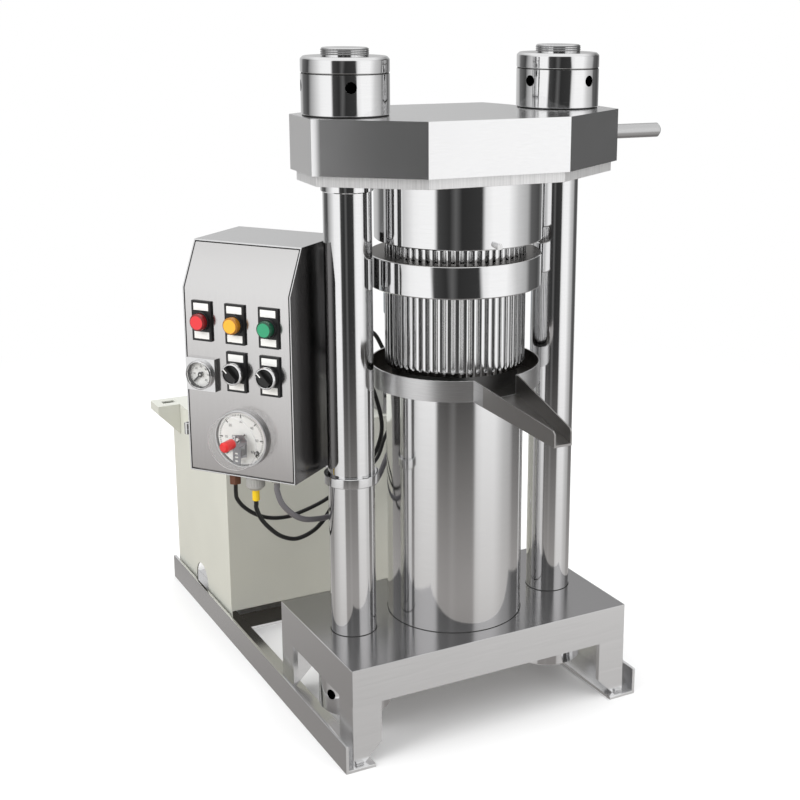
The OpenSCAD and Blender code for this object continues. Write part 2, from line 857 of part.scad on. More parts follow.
module pressure_pipe() {
    x = valve_x;
    y0 = tank_y0 + 12;
    z0 = tank_top + valve[2] / 2;
    y1 = press_y + cylinder_d / 2;
    color("silver") swept([[x, y0, z0], [x, y0 - 10, z0], [x, y0 - 20, z0], [x, y0 - 33, z0 - 8],
        [x, y0 - 40, z0 - 26],
        [x, y0 - 42, z0 - 80], [x, y0 - 42, port_z + 70], [x, y0 - 44, port_z + 34],
        [x - 4, y0 - 52, port_z + 12], [x - 16, y0 - 64, port_z + 2], [x - 40, y0 - 84, port_z],
        [20, y1 + 92, port_z], [6, y1 + 74, port_z], [0, y1 + 50, port_z], [0, y1 + 32, port_z],
        [0, y1 + 16, port_z], [0, y1, port_z]], pipe_d, 10);
}

// Where the three lines leave the box's foot, across the panel and into the box
hose_at = [72, 14];
gland_at = [107, 16];
control_at = [144, 18];

module under_box(at) in_box() translate([at[0], at[1], 0]) mirror([0, 0, 1]) children();

function box_point(at, down) = [
    box_x + at[0] * cos(box_turn) + at[1] * sin(box_turn),
    box_y - at[0] * sin(box_turn) + at[1] * cos(box_turn), box_z - down];

module hose_fitting() {
    color("saddlebrown") under_box(hose_at) cylinder(d = 19, h = fitting_h, $fn = 6);
}

module cable_gland() {
    color("lightgray") {
        under_box(gland_at) chamfered(gland_nut_d, gland_nut_h, top = 5, $fn = 48);
        under_box(control_at) chamfered(grommet_d, grommet_h, top = 2, $fn = 48);
    }
}

// Tapered sleeve on the supply cable
module gland_sleeve() {
    taper = 1;
    color("gold") under_box(gland_at) translate([0, 0, gland_nut_h])
        chamfered(sleeve_d, sleeve_h, top = taper, $fn = 32);
}

sleeve_d = 11.5;

// Each line leaves square to its first face and ends square to its last
module gauge_hose() {
    p = box_point(hose_at, fitting_h);
    x = valve_x - 16;
    y = tank_y0 + 12;
    z = tank_top + 34;
    color("black") swept([p, p + [0, 0, -8], p + [0, 0, -16], [-344, -344, 384], [-331, -339, 366],
        [-308, -332, 347], [-281, -324, 334], [-250, -314, 327], [-226, -306, 327], [-195, -296, 330],
        [-167, -286, 335], [-119, -270, 350], [-62, -250, 373], [-37, -235, 406], [-9, -215, 428],
        [20, -180, 436], [44, -134, 432], [60, -92, 420],
        [x, y - 38, z], [x, y - 20, z], [x, y, z]], hose_d);
}

module supply_cable() {
    p = box_point(gland_at, gland_nut_h + sleeve_h);
    x = 150;
    z = terminal_z + 23;
    color("black") swept([p, p + [0, 0, -6], p + [0, 0, -13], [-316, -370, 356], [-303, -366, 338],
        [-281, -357, 316], [-255, -346, 301], [-233, -336, 297], [-208, -326, 301], [-189, -318, 311],
        [-176, -314, 324], [-145, -308, 361], [-112, -304, 384], [-88, -300, 402], [-73, -296, 432],
        [-70, -292, 460], [-77, -288, 496], [-90, -284, 538], [-94, -280, 579], [-86, -274, 606],
        [-68, -266, 600], [-47, -256, 568], [-17, -240, 522], [30, -205, 492], [80, -162, 486],
        [122, -116, z], [145, -78, z], [x, terminal_y - 28, z], [x, terminal_y - 14, z],
        [x, terminal_y, z]], supply_d);
}

module control_cable() {
    p = box_point(control_at, grommet_h);
    x = 196;
    z = terminal_z + 39;
    color("dimgray") swept([p, p + [0, 0, -7], p + [0, 0, -15], [-290, -394, 384], [-270, -387, 360],
        [-249, -378, 345], [-225, -366, 336], [-195, -352, 330], [-157, -334, 332], [-118, -316, 342],
        [-82, -300, 360], [-58, -284, 386], [-33, -264, 410], [0, -238, 428], [40, -196, 444],
        [90, -150, 452], [142, -106, 460], [180, -86, 476], [x, terminal_y - 36, z - 4],
        [x, terminal_y - 22, z], [x, terminal_y - 11, z], [x, terminal_y, z]], control_d);
}

/* Control box */

module clamp_collar() {
    color("gainsboro") translate([left_x, press_y, clamp_z]) difference() {
        chamfered(clamp_d, clamp_h, top = 1, foot = 1);
        translate([0, 0, -eps]) cylinder(d = column_d, h = clamp_h + 2 * eps);
    }
}

// Flat arm from the collar's back, under the box's foot and square to its side
module box_arm() {
    color("silver") translate([left_x, press_y, box_z - arm_t]) difference() {
        rotate([0, 0, -box_turn]) translate([-arm_reach, arm_back - arm_width / 2, 0])
            cube([arm_reach, arm_width, arm_t]);
        translate([0, 0, -eps]) cylinder(d = clamp_d, h = arm_t + 2 * eps);
    }
}

// Side of the box's front and slope, moved back into the box by inset
function box_side(inset) = let (
    run_in = inset * norm([box_slope_d, box_slope_h]) / box_slope_h,
    knee = box_front_h + (inset - run_in) * box_slope_h / box_slope_d)
    [[inset, 0], [inset, knee], [box_slope_d + run_in, box_h]];

// The box's form from one depth behind its front to another, drawn in by margin all round
module box_layer(from, to, margin) {
    back = [for (i = [2:-1:0]) box_side(to)[i]];
    outline = to >= box_depth ? [[to, box_h], [to, 0]] : back;
    intersection() {
        rotate([90, 0, 90]) linear_extrude(box_width) polygon(concat(box_side(from), outline));
        translate([margin, -box_depth, margin])
            cube([box_width - 2 * margin, 3 * box_depth, box_h - 2 * margin]);
    }
}

// Margin of the body's opening behind the front, and of the front itself
door_opening = 14;
door_margin = box_sheet + door_gap;

module box_body() {
    s = box_sheet;
    color("silver") in_box() difference() {
        box_layer(0, box_depth, 0);
        box_layer(-eps, door_depth, s);
        box_layer(door_depth + s, box_depth - s, s);
        box_layer(door_depth - eps, door_depth + s + eps, door_opening);
    }
}

// The front and its slope, one sheet with folded edges that sit on the body's flange
module box_front() {
    color("silver") in_box() difference() {
        box_layer(0, door_depth, door_margin);
        box_layer(box_sheet, door_depth + eps, door_margin + box_sheet);
    }
}

/* Panel */

device_hole = 22;
insert = [26, 11];
insert_off = label_h / 2 - 9;

module label_plate() {
    difference() {
        translate([-label_w / 2, -label_h / 2, 0]) cube([label_w, label_h, label_t]);
        translate([0, 0, -eps]) cylinder(d = device_hole, h = label_t + 2 * eps, $fn = 48);
        for (v = [-insert_off, insert_off])
            translate([-insert[0] / 2, v - insert[1] / 2, label_t - 1]) cube([insert[0], insert[1], 1 + eps]);
    }
}

module at_devices() {
    for (u = device_u) on_panel(u, lamp_row) children();
    for (i = [1, 2]) on_panel(device_u[i], selector_row) children();
}

module label_plates() {
    color("black") {
        at_devices() label_plate();
        for (u = device_u)
            on_panel(u, lamp_row) translate([0, 0, label_t]) ring(bezel_d, lamp_d, bezel_h, $fn = 48);
    }
}

module label_inserts() {
    color("white") at_devices() for (v = [-insert_off, insert_off])
        translate([-insert[0] / 2, v - insert[1] / 2, label_t - 1]) cube([insert[0], insert[1], 1.3]);
}

// A pilot lamp: its stem in the plate's hole and its lens in front
module lamp() {
    cylinder(d = device_hole, h = label_t, $fn = 48);
    translate([0, 0, label_t]) chamfered(lamp_d, lamp_h, top = 2, $fn = 48);
}

module red_lamp() color("red") on_panel(device_u[0], lamp_row) lamp();

module yellow_lamp() color("gold") on_panel(device_u[1], lamp_row) lamp();

module green_lamp() color("mediumseagreen") on_panel(device_u[2], lamp_row) lamp();

// Fixed part of a selector, with a pivot pin for the knob
collar_t = 6;
pivot_d = 8;
pivot_h = 6;

module selector_bezels() {
    color("black") for (i = [1, 2]) on_panel(device_u[i], selector_row) {
        cylinder(d = device_hole, h = label_t, $fn = 48);
        translate([0, 0, label_t]) cylinder(d = knob_d + 2, h = collar_t, $fn = 48);
        translate([0, 0, label_t + collar_t]) cylinder(d = pivot_d, h = pivot_h, $fn = 32);
    }
}

// Knob with a grip bar across it, pointing up and left at rest
module selector_knob() {
    disc_h = 8;
    bar_w = 9;
    bar_h = 7;
    difference() {
        union() {
            chamfered(knob_d, disc_h, top = 1, $fn = 48);
            rotate([0, 0, 135]) translate([-knob_d / 2 + 1, -bar_w / 2, disc_h - 1])
                cube([knob_d - 2, bar_w, bar_h + 1]);
        }
        translate([0, 0, -eps]) cylinder(r = pivot_d / 2 + run, h = pivot_h + slide + eps, $fn = 32);
    }
}

module left_selector_knob() {
    color("black") on_panel(device_u[1], selector_row)
        translate([0, 0, label_t + collar_t + slide]) selector_knob();
}

module right_selector_knob() {
    color("black") on_panel(device_u[2], selector_row)
        translate([0, 0, label_t + collar_t + slide]) selector_knob();
}

// Small gauge: a square frame with a round case in it
gauge_case_h = 14;
gauge_wall = 2;
gauge_floor = 5;

module oil_gauge_case() {
    color("silver") on_panel(gauge_u, gauge_v) {
        difference() {
            translate([-gauge_side / 2, -gauge_side / 2, 0]) cube([gauge_side, gauge_side, gauge_frame_t]);
            translate([0, 0, gauge_floor])
                cylinder(d = gauge_d - 2 * gauge_wall, h = gauge_case_h, $fn = 64);
        }
        translate([0, 0, gauge_frame_t]) tube(gauge_d, gauge_wall, gauge_case_h - gauge_frame_t, $fn = 64);
    }
}

// A gauge's dial with the pin that carries its pointer
module dial(d, pin_h) {
    cylinder(d = d, h = 1, $fn = 64);
    translate([0, 0, 1]) cylinder(d = dial_pin_d, h = pin_h, $fn = 32);
}

dial_pin_d = 2.4;
contact_floor = 3;
cover_t = 2;

module gauge_dials() {
    color("white") {
        on_panel(gauge_u, gauge_v) translate([0, 0, gauge_floor]) dial(gauge_d - 2 * gauge_wall, 4);
        on_panel(contact_u, contact_row) translate([0, 0, contact_floor]) dial(cover_d - 2 * cover_t, 6);
    }
}

// The small gauge's flat glass, and the contact gauge's clear cup with a hole for the setting knob
module gauge_glasses() {
    color("lightcyan") {
        on_panel(gauge_u, gauge_v) translate([0, 0, gauge_case_h - 2])
            cylinder(d = gauge_d - 2 * gauge_wall, h = 1.5, $fn = 64);
        on_panel(contact_u, contact_row) difference() {
            translate([0, 0, contact_floor]) chamfered(cover_d, contact_h - contact_floor, top = 2);
            translate([0, 0, contact_floor - eps])
                cylinder(d = cover_d - 2 * cover_t, h = contact_h - contact_floor - cover_t + eps);
            cylinder(d = setting_stem_d, h = contact_h + eps, $fn = 32);
        }
    }
}

// Pointer on the dial's pin: a hub, a long needle and a short tail, at zero at rest
module pointer(reach, width, t) {
    difference() {
        union() {
            cylinder(d = dial_pin_d + 4, h = t, $fn = 32);
            rotate([0, 0, 225]) translate([-reach / 3, -width / 2, 0]) cube([reach * 4 / 3, width, t]);
        }
        translate([0, 0, -eps]) cylinder(r = dial_pin_d / 2 + run, h = t + 2 * eps, $fn = 32);
    }
}

module oil_gauge_pointer() {
    color("black") on_panel(gauge_u, gauge_v) translate([0, 0, gauge_floor + 1 + 1.5])
        pointer(gauge_d / 2 - 6, 1.4, 1.2);
}

module contact_gauge_pointer() {
    color("black") on_panel(contact_u, contact_row) translate([0, 0, contact_floor + 1 + 2])
        pointer(cover_d / 2 - 9, 2, 1.5);
}

// Case with a seat for the clear cover, and inside it the bracket of the setting arm
module contact_gauge_case() {
    color("silver") on_panel(contact_u, contact_row) {
        difference() {
            chamfered(contact_d, contact_case_h, top = 1);
            translate([0, 0, contact_floor]) cylinder(r = cover_d / 2 + run, h = contact_h);
        }
        setting_bracket();
    }
}

// Bent plate over the pointer: a slotted arm, and a leg that hangs it from the cover's front
module setting_bracket() {
    arm_z = 14;
    hang_h = contact_h - cover_t - arm_z;
    t = 1.5;
    translate([0, 0, arm_z]) linear_extrude(t) difference() {
        polygon([[-9, 8], [8, 10], [16, 2], [15, -24], [5, -27], [3, -38], [-9, -38], [-9, -14], [-5, -4]]);
        circle(d = dial_pin_d + 6, $fn = 32);
        for (v = [-33, -27, -21]) translate([-6, v - 1.5]) square([6, 3]);
    }
    translate([13, -20, arm_z]) cube([t, 16, hang_h]);
}

// Setting knob: a stem that turns in the cover, and a red cap
setting_stem_d = 7;
stem_in = 10;

module contact_gauge_setting_knob() {
    color("red") on_panel(contact_u, contact_row) translate([0, 0, contact_h - stem_in]) {
        cylinder(r = setting_stem_d / 2 - run, h = stem_in + 1, $fn = 32);
        translate([0, 0, stem_in + slide]) chamfered(setting_d, setting_h, top = 3, $fn = 48);
    }
}

left_rail();
right_rail();
cross_plates();
table_legs();
base_block();
left_column();
right_column();
base_nuts();
top_nuts();
lock_rings();
column_collars();
hydraulic_cylinder();
cylinder_gland();
ram_seal();
ram();
pressing_plate();
oil_tray();
tray_spout();
seat_ring();
pressing_barrel();
barrel_ring();
beam();
beam_under_plate();
press_head();
head_pin();
handle_rod();
tank_body();
tank_cover();
lifting_ears();
drive_motor();
motor_fan_cover();
terminal_box();
valve_block();
gear_pump();
pressure_pipe();
clamp_collar();
box_arm();
box_body();
box_front();
label_plates();
label_inserts();
red_lamp();
yellow_lamp();
green_lamp();
selector_bezels();
left_selector_knob();
right_selector_knob();
oil_gauge_case();
oil_gauge_pointer();
contact_gauge_case();
contact_gauge_pointer();
contact_gauge_setting_knob();
gauge_dials();
gauge_glasses();
hose_fitting();
cable_gland();
gland_sleeve();
gauge_hose();
supply_cable();
control_cable();
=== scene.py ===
# %% [markdown]
# A hydraulic oil press in polished steel, with its tank, motor and control box.
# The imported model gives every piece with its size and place. This lesson dresses those pieces:
# it sets the camera and the studio, makes the finishes, and adds what is too fine for the model.

# %% Load the frame
import math
import bpy
import numpy as np
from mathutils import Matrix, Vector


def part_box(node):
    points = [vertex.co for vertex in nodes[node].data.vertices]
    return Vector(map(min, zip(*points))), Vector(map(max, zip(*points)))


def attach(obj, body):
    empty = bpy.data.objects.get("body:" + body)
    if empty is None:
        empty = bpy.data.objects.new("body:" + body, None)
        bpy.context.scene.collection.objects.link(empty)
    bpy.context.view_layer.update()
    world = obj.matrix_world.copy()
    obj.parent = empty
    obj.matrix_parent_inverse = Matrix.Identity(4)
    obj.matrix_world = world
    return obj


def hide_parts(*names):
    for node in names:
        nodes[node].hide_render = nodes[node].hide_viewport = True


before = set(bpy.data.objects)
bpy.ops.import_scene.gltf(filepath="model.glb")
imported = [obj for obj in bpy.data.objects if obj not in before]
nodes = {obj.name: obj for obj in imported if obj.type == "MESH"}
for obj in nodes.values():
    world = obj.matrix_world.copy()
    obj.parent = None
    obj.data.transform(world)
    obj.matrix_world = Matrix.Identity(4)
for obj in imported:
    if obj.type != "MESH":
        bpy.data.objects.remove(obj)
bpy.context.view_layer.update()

# %% [markdown]
# The camera stands where the photographer stood. Its place, in metres, and its lens were found
# once, by lining up the machine's corners.

# %% Camera
CAMERA_PLACE = (-1.03017, -2.31644, 1.15691)
CAMERA_YAW, CAMERA_PITCH, CAMERA_ROLL = 0.51677, 0.25293, 0.00814
FOCAL_MM = 62.94
SENSOR_MM = 36.0
SHIFT = (-0.1010, -0.0616)
NEAR_FAR = (0.05, 60.0)


def stand(thing, right, up, back, place):
    """Puts a camera or lamp at place, with its own x, y and z along right, up and back."""
    matrix = np.eye(4)
    matrix[:3, 0], matrix[:3, 1], matrix[:3, 2], matrix[:3, 3] = right, up, back, place
    thing.matrix_world = matrix.T.tolist()


def add_camera(place, yaw, pitch, roll):
    """The photographer's camera, turned by yaw, pitch and roll in radians."""
    forward = np.array([
        math.sin(yaw) * math.cos(pitch), math.cos(yaw) * math.cos(pitch), -math.sin(pitch)])
    level = np.array([math.cos(yaw), -math.sin(yaw), 0.0])
    upright = np.cross(level, forward)
    right = level * math.cos(roll) + upright * math.sin(roll)
    up = upright * math.cos(roll) - level * math.sin(roll)
    data = bpy.data.cameras.new("camera")
    data.lens = FOCAL_MM
    data.sensor_width = SENSOR_MM
    data.shift_x, data.shift_y = SHIFT
    data.clip_start, data.clip_end = NEAR_FAR
    camera = bpy.data.objects.new("camera", data)
    bpy.context.scene.collection.objects.link(camera)
    stand(camera, right, up, -forward, place)
    bpy.context.scene.camera = camera


add_camera(CAMERA_PLACE, CAMERA_YAW, CAMERA_PITCH, CAMERA_ROLL)
print("camera at", CAMERA_PLACE, "with a lens of", FOCAL_MM, "mm")

# %% [markdown]
# Node trees are easier to read when a node is made, set and linked in one line, so these helpers
# do that for every finish and for the studio.

# %% Node helpers


def add_node(tree, kind, settings=None, **inputs):
    """One shader node of that kind: settings are its own fields, inputs are its sockets or links."""
    node = tree.nodes.new("ShaderNode" + kind)
    for field, value in (settings or {}).items():
        setattr(node, field, value)
    for name, value in inputs.items():
        numbered = name[0] == "i" and name[1:].isdigit()
        socket = node.inputs[int(name[1:]) if numbered else name.replace("_", " ")]
        if isinstance(value, bpy.types.NodeSocket):
            tree.links.new(value, socket)
        else:
            socket.default_value = value
    return node


def calc(tree, operation, first, second=0.0):
    """The result of one arithmetic step on two values or sockets."""
    return add_node(tree, "Math", {"operation": operation}, i0=first, i1=second).outputs[0]


def rescale(tree, value, low, high, start=0.0, end=1.0, ease="LINEAR"):
    """The value's place between low and high, carried over to the range from start to end."""
    return add_node(
        tree, "MapRange", {"interpolation_type": ease}, Value=value, From_Min=low, From_Max=high,
        To_Min=start, To_Max=end).outputs[0]


def mixed(tree, share, first, second, kind="RGBA", **settings):
    """Two colours or two values in one, with that share of the second."""
    node = add_node(tree, "Mix", {"data_type": kind, **settings}, Factor=share, A=first, B=second)
    return node.outputs["Result"]


def rgba(shade):
    """A grey number, or a colour of three, with full cover."""
    return (*shade, 1.0) if isinstance(shade, tuple) else (shade, shade, shade, 1.0)


def own_place(tree):
    """The shaded point in its piece's own coordinates, in metres."""
    return add_node(tree, "TexCoord").outputs["Object"]


def ramp(tree, factor, stops):
    """A colour ramp through grey or coloured stops, given as (place, grey or colour)."""
    node = add_node(tree, "ValToRGB", Fac=factor)
    elements = node.color_ramp.elements
    while len(elements) < len(stops):
        elements.new(0.5)
    for element, (place, shade) in zip(elements, stops):
        element.position = place
        element.color = rgba(shade)
    return node.outputs["Color"]


# %% [markdown]
# Polished steel has no look of its own: it shows the studio. The photographer's two big soft boxes
# stand left and right of the camera, with the dark room between them, and pale paper closes the
# back. The world repeats that as a ring of shades by compass direction. Below the horizon the
# floor mixes in, and overhead a pale ceiling. A direction's height is the sine of its angle.

# %% Studio
# Shade of the studio at each compass direction, in degrees from +X towards +Y
STUDIO_RING = [
    (-180, 0.93), (-171, 0.98), (-151, 1.00), (-146, 0.06), (-130, 0.03), (-122, 0.12), (-114, 0.03),
    (-87, 0.04), (-82, 0.85), (-72, 1.00), (-48, 1.00), (-30, 0.62), (-12, 0.44), (-3, 0.12), (20, 0.07),
    (34, 0.22), (50, 0.45), (78, 0.62), (98, 0.50), (110, 0.16), (136, 0.06), (146, 0.35),
    (158, 0.55), (170, 0.75), (180, 0.93)]
# Shade of the floor that metal sees, from far off (0) to close by (1)
FLOOR_SHADES = [
    (0.0, (0.31, 0.295, 0.285)), (0.64, (0.52, 0.50, 0.485)), (0.80, (0.31, 0.295, 0.285))]
FLOOR_SHARE = 0.72
FLOOR_STARTS, FLOOR_FILLS, FLOOR_NEAREST = -0.25, -0.42, -0.50
CEILING_STARTS, CEILING_FILLS = 0.35, 0.75
CEILING_SHADE = rgba(0.9)
WHITE = rgba(1.0)
DIFFUSE_BOOST = 1.75
LAMPS_AIM = (0.0, -0.2, 0.5)


def build_world():
    """The ring of shades for metal and paint, and plain white for the camera."""
    world = bpy.data.worlds.new("studio")
    bpy.context.scene.world = world
    world.use_nodes = True
    tree = world.node_tree
    tree.nodes.clear()
    direction = add_node(
        tree, "SeparateXYZ", Vector=add_node(tree, "TexCoord").outputs["Generated"]).outputs
    compass = calc(tree, "ARCTAN2", direction["Y"], direction["X"])
    turn = calc(tree, "ADD", calc(tree, "DIVIDE", compass, 2 * math.pi), 0.5)
    ring = ramp(tree, turn, [((angle + 180) / 360, shade) for angle, shade in STUDIO_RING])
    height = direction["Z"]
    ground = ramp(tree, rescale(tree, height, FLOOR_STARTS, FLOOR_NEAREST), FLOOR_SHADES)
    dim = mixed(tree, FLOOR_SHARE, ring, ground)
    lower = mixed(tree, rescale(tree, height, FLOOR_STARTS, FLOOR_FILLS), ring, dim)
    whole = mixed(tree, rescale(tree, height, CEILING_STARTS, CEILING_FILLS), lower, CEILING_SHADE)
    rays = add_node(tree, "LightPath").outputs
    more = calc(tree, "MULTIPLY", rays["Is Diffuse Ray"], DIFFUSE_BOOST - 1.0)
    room = add_node(tree, "Background", Color=whole, Strength=calc(tree, "ADD", 1.0, more))
    paper = add_node(tree, "Background", Color=WHITE, Strength=1.0)
    mix = add_node(tree, "MixShader", Fac=rays["Is Camera Ray"], i1=room.outputs[0], i2=paper.outputs[0])
    add_node(tree, "OutputWorld", Surface=mix.outputs[0])


def add_lamp(name, place, size, power):
    """A square lamp for paint and floor, aimed at the press; metal doesn't see it."""
    data = bpy.data.lights.new(name, "AREA")
    data.size = size
    data.energy = power
    lamp = bpy.data.objects.new(name, data)
    bpy.context.scene.collection.objects.link(lamp)
    lamp.visible_glossy = False
    back = np.array(place) - np.array(LAMPS_AIM)
    back = back / np.linalg.norm(back)
    right = np.cross((0.0, 0.0, 1.0), back)
    right = right / np.linalg.norm(right)
    stand(lamp, right, np.cross(back, right), back, place)


build_world()
add_lamp("left_soft_box", (-3.0, -0.9, 2.0), 1.8, 40.0)
add_lamp("right_soft_box", (1.6, -3.2, 2.4), 1.6, 10.0)
bpy.context.scene.view_settings.view_transform = "Standard"
print("studio:", len(STUDIO_RING), "shades round the horizon and", len(bpy.data.lights), "soft boxes")

# %% [markdown]
# The floor is white paper that runs out of view. It is plain and matt near the machine, where it
# takes the soft shadow, and fades to the paper's full white far away, so no horizon shows. Metal
# sees the studio's ring below the horizon in its place, and the light that the floor throws back
# on the machine is kept weak and a little warm.

# %% Floor
FLOOR_RADIUS = 6.0
FLOOR_FADE = (0.9, 2.2)
PAPER_SHADE = rgba(0.93)
PAPER_BOUNCE = rgba((0.50, 0.45, 0.38))


def disc(radius, steps):
    """A flat disc as a fan: its middle, then radius * (cos a, sin a) for angles a all the way round."""
    angle = np.linspace(0.0, 2 * np.pi, steps, endpoint=False)
    rim = np.stack([radius * np.cos(angle), radius * np.sin(angle), 0 * angle], -1)
    number = np.arange(steps)
    faces = np.stack([0 * number, number + 1, (number + 1) % steps + 1], -1)
    return np.vstack([np.zeros((1, 3)), rim]), faces


def add_floor():
    """A disc of paper, bright to the camera and duller to the light that it throws back."""
    points, faces = disc(FLOOR_RADIUS, 96)
    mesh = bpy.data.meshes.new("floor")
    mesh.from_pydata(points.tolist(), [], faces.tolist())
    floor = bpy.data.objects.new("floor", mesh)
    bpy.context.scene.collection.objects.link(floor)
    material = bpy.data.materials.new("paper")
    material.use_nodes = True
    tree = material.node_tree
    tree.nodes.clear()
    distance = add_node(tree, "VectorMath", {"operation": "LENGTH"}, i0=own_place(tree)).outputs["Value"]
    fade = rescale(tree, distance, *FLOOR_FADE, ease="SMOOTHSTEP")
    seen = add_node(tree, "LightPath").outputs["Is Camera Ray"]
    matt = add_node(tree, "BsdfDiffuse", Color=mixed(tree, seen, PAPER_BOUNCE, PAPER_SHADE))
    white = add_node(tree, "Emission", Color=WHITE, Strength=1.0)
    mix = add_node(tree, "MixShader", Fac=fade, i1=matt.outputs[0], i2=white.outputs[0])
    add_node(tree, "OutputMaterial", Surface=mix.outputs[0])
    mesh.materials.append(material)
    floor.visible_glossy = False
    print("floor of", FLOOR_RADIUS, "m radius, white beyond", FLOOR_FADE[1], "m")


add_floor()

# %% [markdown]
# Steel differs by how it was worked. A turned piece has fine rings round its axis, a brushed sheet
# has long scratches along one direction, and a ground column is close to a mirror. One function
# makes them all: stretched noise, read in the object's own coordinates, moves the roughness a
# little and tilts the surface.

# %% Steel
MICRON = 1e-6
# How closely the noise is packed along x, y and z
RINGS = (30.0, 30.0, 2500.0)
ALONG_X = (14.0, 1400.0, 1400.0)
ALONG_Z = (900.0, 900.0, 16.0)
UPRIGHT = (1600.0, 1600.0, 14.0)
ROLLED = (40.0, 40.0, 900.0)
EVEN = (300.0, 300.0, 300.0)
CLOUDS = (6.0, 6.0, 6.0)


def principled(name, **sockets):
    """A material with one Principled shader, its even values set on the shader's own sockets."""
    material = bpy.data.materials.new(name)
    material.use_nodes = True
    tree = material.node_tree
    tree.nodes.clear()
    shader = add_node(tree, "BsdfPrincipled")
    add_node(tree, "OutputMaterial", Surface=shader.outputs[0])
    for socket, value in sockets.items():
        shader.inputs[socket.replace("_", " ")].default_value = value
    return material, tree, shader


def stretched_noise(tree, stretch, detail=3.0):
    """Noise in object coordinates, packed closely along the axes where stretch is large."""
    place = add_node(tree, "Mapping", Vector=own_place(tree), Scale=stretch).outputs[0]
    return add_node(tree, "TexNoise", Vector=place, Scale=1.0, Detail=detail, Roughness=0.6).outputs["Fac"]


def steel(name, shade, roughness, stretch, depth, wobble=0.03, tone=0.06, metallic=1.0):
    """Metal with scratches along stretch, depth in microns, and broad clouds of a different polish."""
    material, tree, shader = principled(name, Metallic=metallic, Roughness=roughness)
    grain = stretched_noise(tree, stretch)
    clouds = stretched_noise(tree, CLOUDS, detail=2.0)
    bright = (shade, shade, shade * 1.005)
    dark = tuple(channel * (1.0 - tone) for channel in bright)
    tree.links.new(ramp(tree, grain, [(0.3, dark), (0.7, bright)]), shader.inputs["Base Color"])
    rough = rescale(
        tree, calc(tree, "ADD", grain, clouds), 0.6, 1.4, roughness - wobble, roughness + wobble)
    tree.links.new(rough, shader.inputs["Roughness"])
    bump = add_node(tree, "Bump", Height=grain, Distance=depth * MICRON, Strength=1.0)
    tree.links.new(bump.outputs[0], shader.inputs["Normal"])
    return material


mirror_column = steel("ground_column", 0.90, 0.09, RINGS, depth=3)
turned_bright = steel("turned_bright", 0.92, 0.06, RINGS, depth=3)
turned_satin = steel("turned_satin", 0.88, 0.11, RINGS, depth=6)
beam_steel = steel("beam_steel", 0.97, 0.21, ALONG_X, depth=8)
plate_steel = steel("plate_steel", 0.97, 0.45, (420.0, 420.0, 9.0), depth=30, tone=0.20, metallic=0.65)
handle_steel = steel("handle_steel", 0.62, 0.24, RINGS, depth=10)
matt_steel = steel("matt_steel", 0.97, 0.50, RINGS, depth=20, metallic=0.7)
table_steel = steel("table_steel", 0.90, 0.22, ALONG_X, depth=10)
sheet_steel = steel("sheet_steel", 0.88, 0.24, ALONG_Z, depth=10)
panel_steel = steel("panel_steel", 0.78, 0.17, ALONG_Z, depth=10)
gauge_steel = steel("gauge_steel", 0.90, 0.22, EVEN, depth=10)
# Dull steel; on the seat ring its darkness is painted shade.
dull_and_shaded_steel = steel("dull_and_shaded_steel", 0.42, 0.42, RINGS, depth=30)
# The thread's steel is darker as painted shade.
shaded_thread_steel = steel("shaded_thread_steel", 0.30, 0.20, RINGS, depth=10)
weld_steel = steel("weld_steel", 0.90, 0.18, (220.0, 220.0, 220.0), depth=100, wobble=0.08, tone=0.2)
print("steels:", ", ".join(m.name for m in bpy.data.materials if m.name.endswith("_steel")))

# %% [markdown]
# Some pieces are worked differently in places, and most such places are painted darker as shade.
# Each such place is told by the point's own coordinates: its height, its distance from an upright
# axis, or how far it lies across, up and out on the control box's front. The mask that comes out is
# 1 there and 0 elsewhere, and the place takes another colour and roughness. Sizes are in
# millimetres from here on.

# %% Places on the machine
MM = 0.001
BOX_CORNER = np.array([-400.5, -294.0, 427.0])
BOX_TURN = math.radians(52)
BOX_WIDTH = 187.0
ACROSS = np.array([math.cos(BOX_TURN), -math.sin(BOX_TURN), 0.0])
OUTWARD = np.array([-math.sin(BOX_TURN), -math.cos(BOX_TURN), 0.0])
UPWARD = np.array([0.0, 0.0, 1.0])
PRESS_Y = -420.0
COLUMN_X = 183.0
COLUMNS = {"left": -COLUMN_X, "right": COLUMN_X}


def piece_box(name):
    """The piece's low and high corner, in metres."""
    return np.array(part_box(name))


def parts_of_place(tree):
    """The shaded point's own x, y and z on the machine, in metres."""
    return add_node(tree, "SeparateXYZ", Vector=own_place(tree)).outputs


def on_panel_axes(tree):
    """How far the point lies across, up and out from the lower left corner of the box's front."""
    corner = tuple(BOX_CORNER * MM)
    place = add_node(tree, "VectorMath", {"operation": "SUBTRACT"}, i0=own_place(tree), i1=corner).outputs[0]
    return [
        add_node(tree, "VectorMath", {"operation": "DOT_PRODUCT"}, i0=place, i1=tuple(way)).outputs["Value"]
        for way in (ACROSS, UPWARD, OUTWARD)]


def between(tree, value, low, high):
    """1 where low < value < high, and 0 elsewhere."""
    above = calc(tree, "GREATER_THAN", value, low)
    return calc(tree, "MULTIPLY", above, calc(tree, "LESS_THAN", value, high))


def from_axis(tree, x, y, centre_x, centre_y):
    """Distance from an axis: the root of (x - centre_x)^2 + (y - centre_y)^2."""
    across = calc(tree, "POWER", calc(tree, "SUBTRACT", x, centre_x), 2.0)
    along = calc(tree, "POWER", calc(tree, "SUBTRACT", y, centre_y), 2.0)
    return calc(tree, "SQRT", calc(tree, "ADD", across, along))


def from_press(tree):
    """The shaded point's distance from the press's own axis."""
    place = parts_of_place(tree)
    return from_axis(tree, place["X"], place["Y"], 0.0, PRESS_Y * MM)


def shader_of(material):
    return next(node for node in material.node_tree.nodes if node.type == "BSDF_PRINCIPLED")


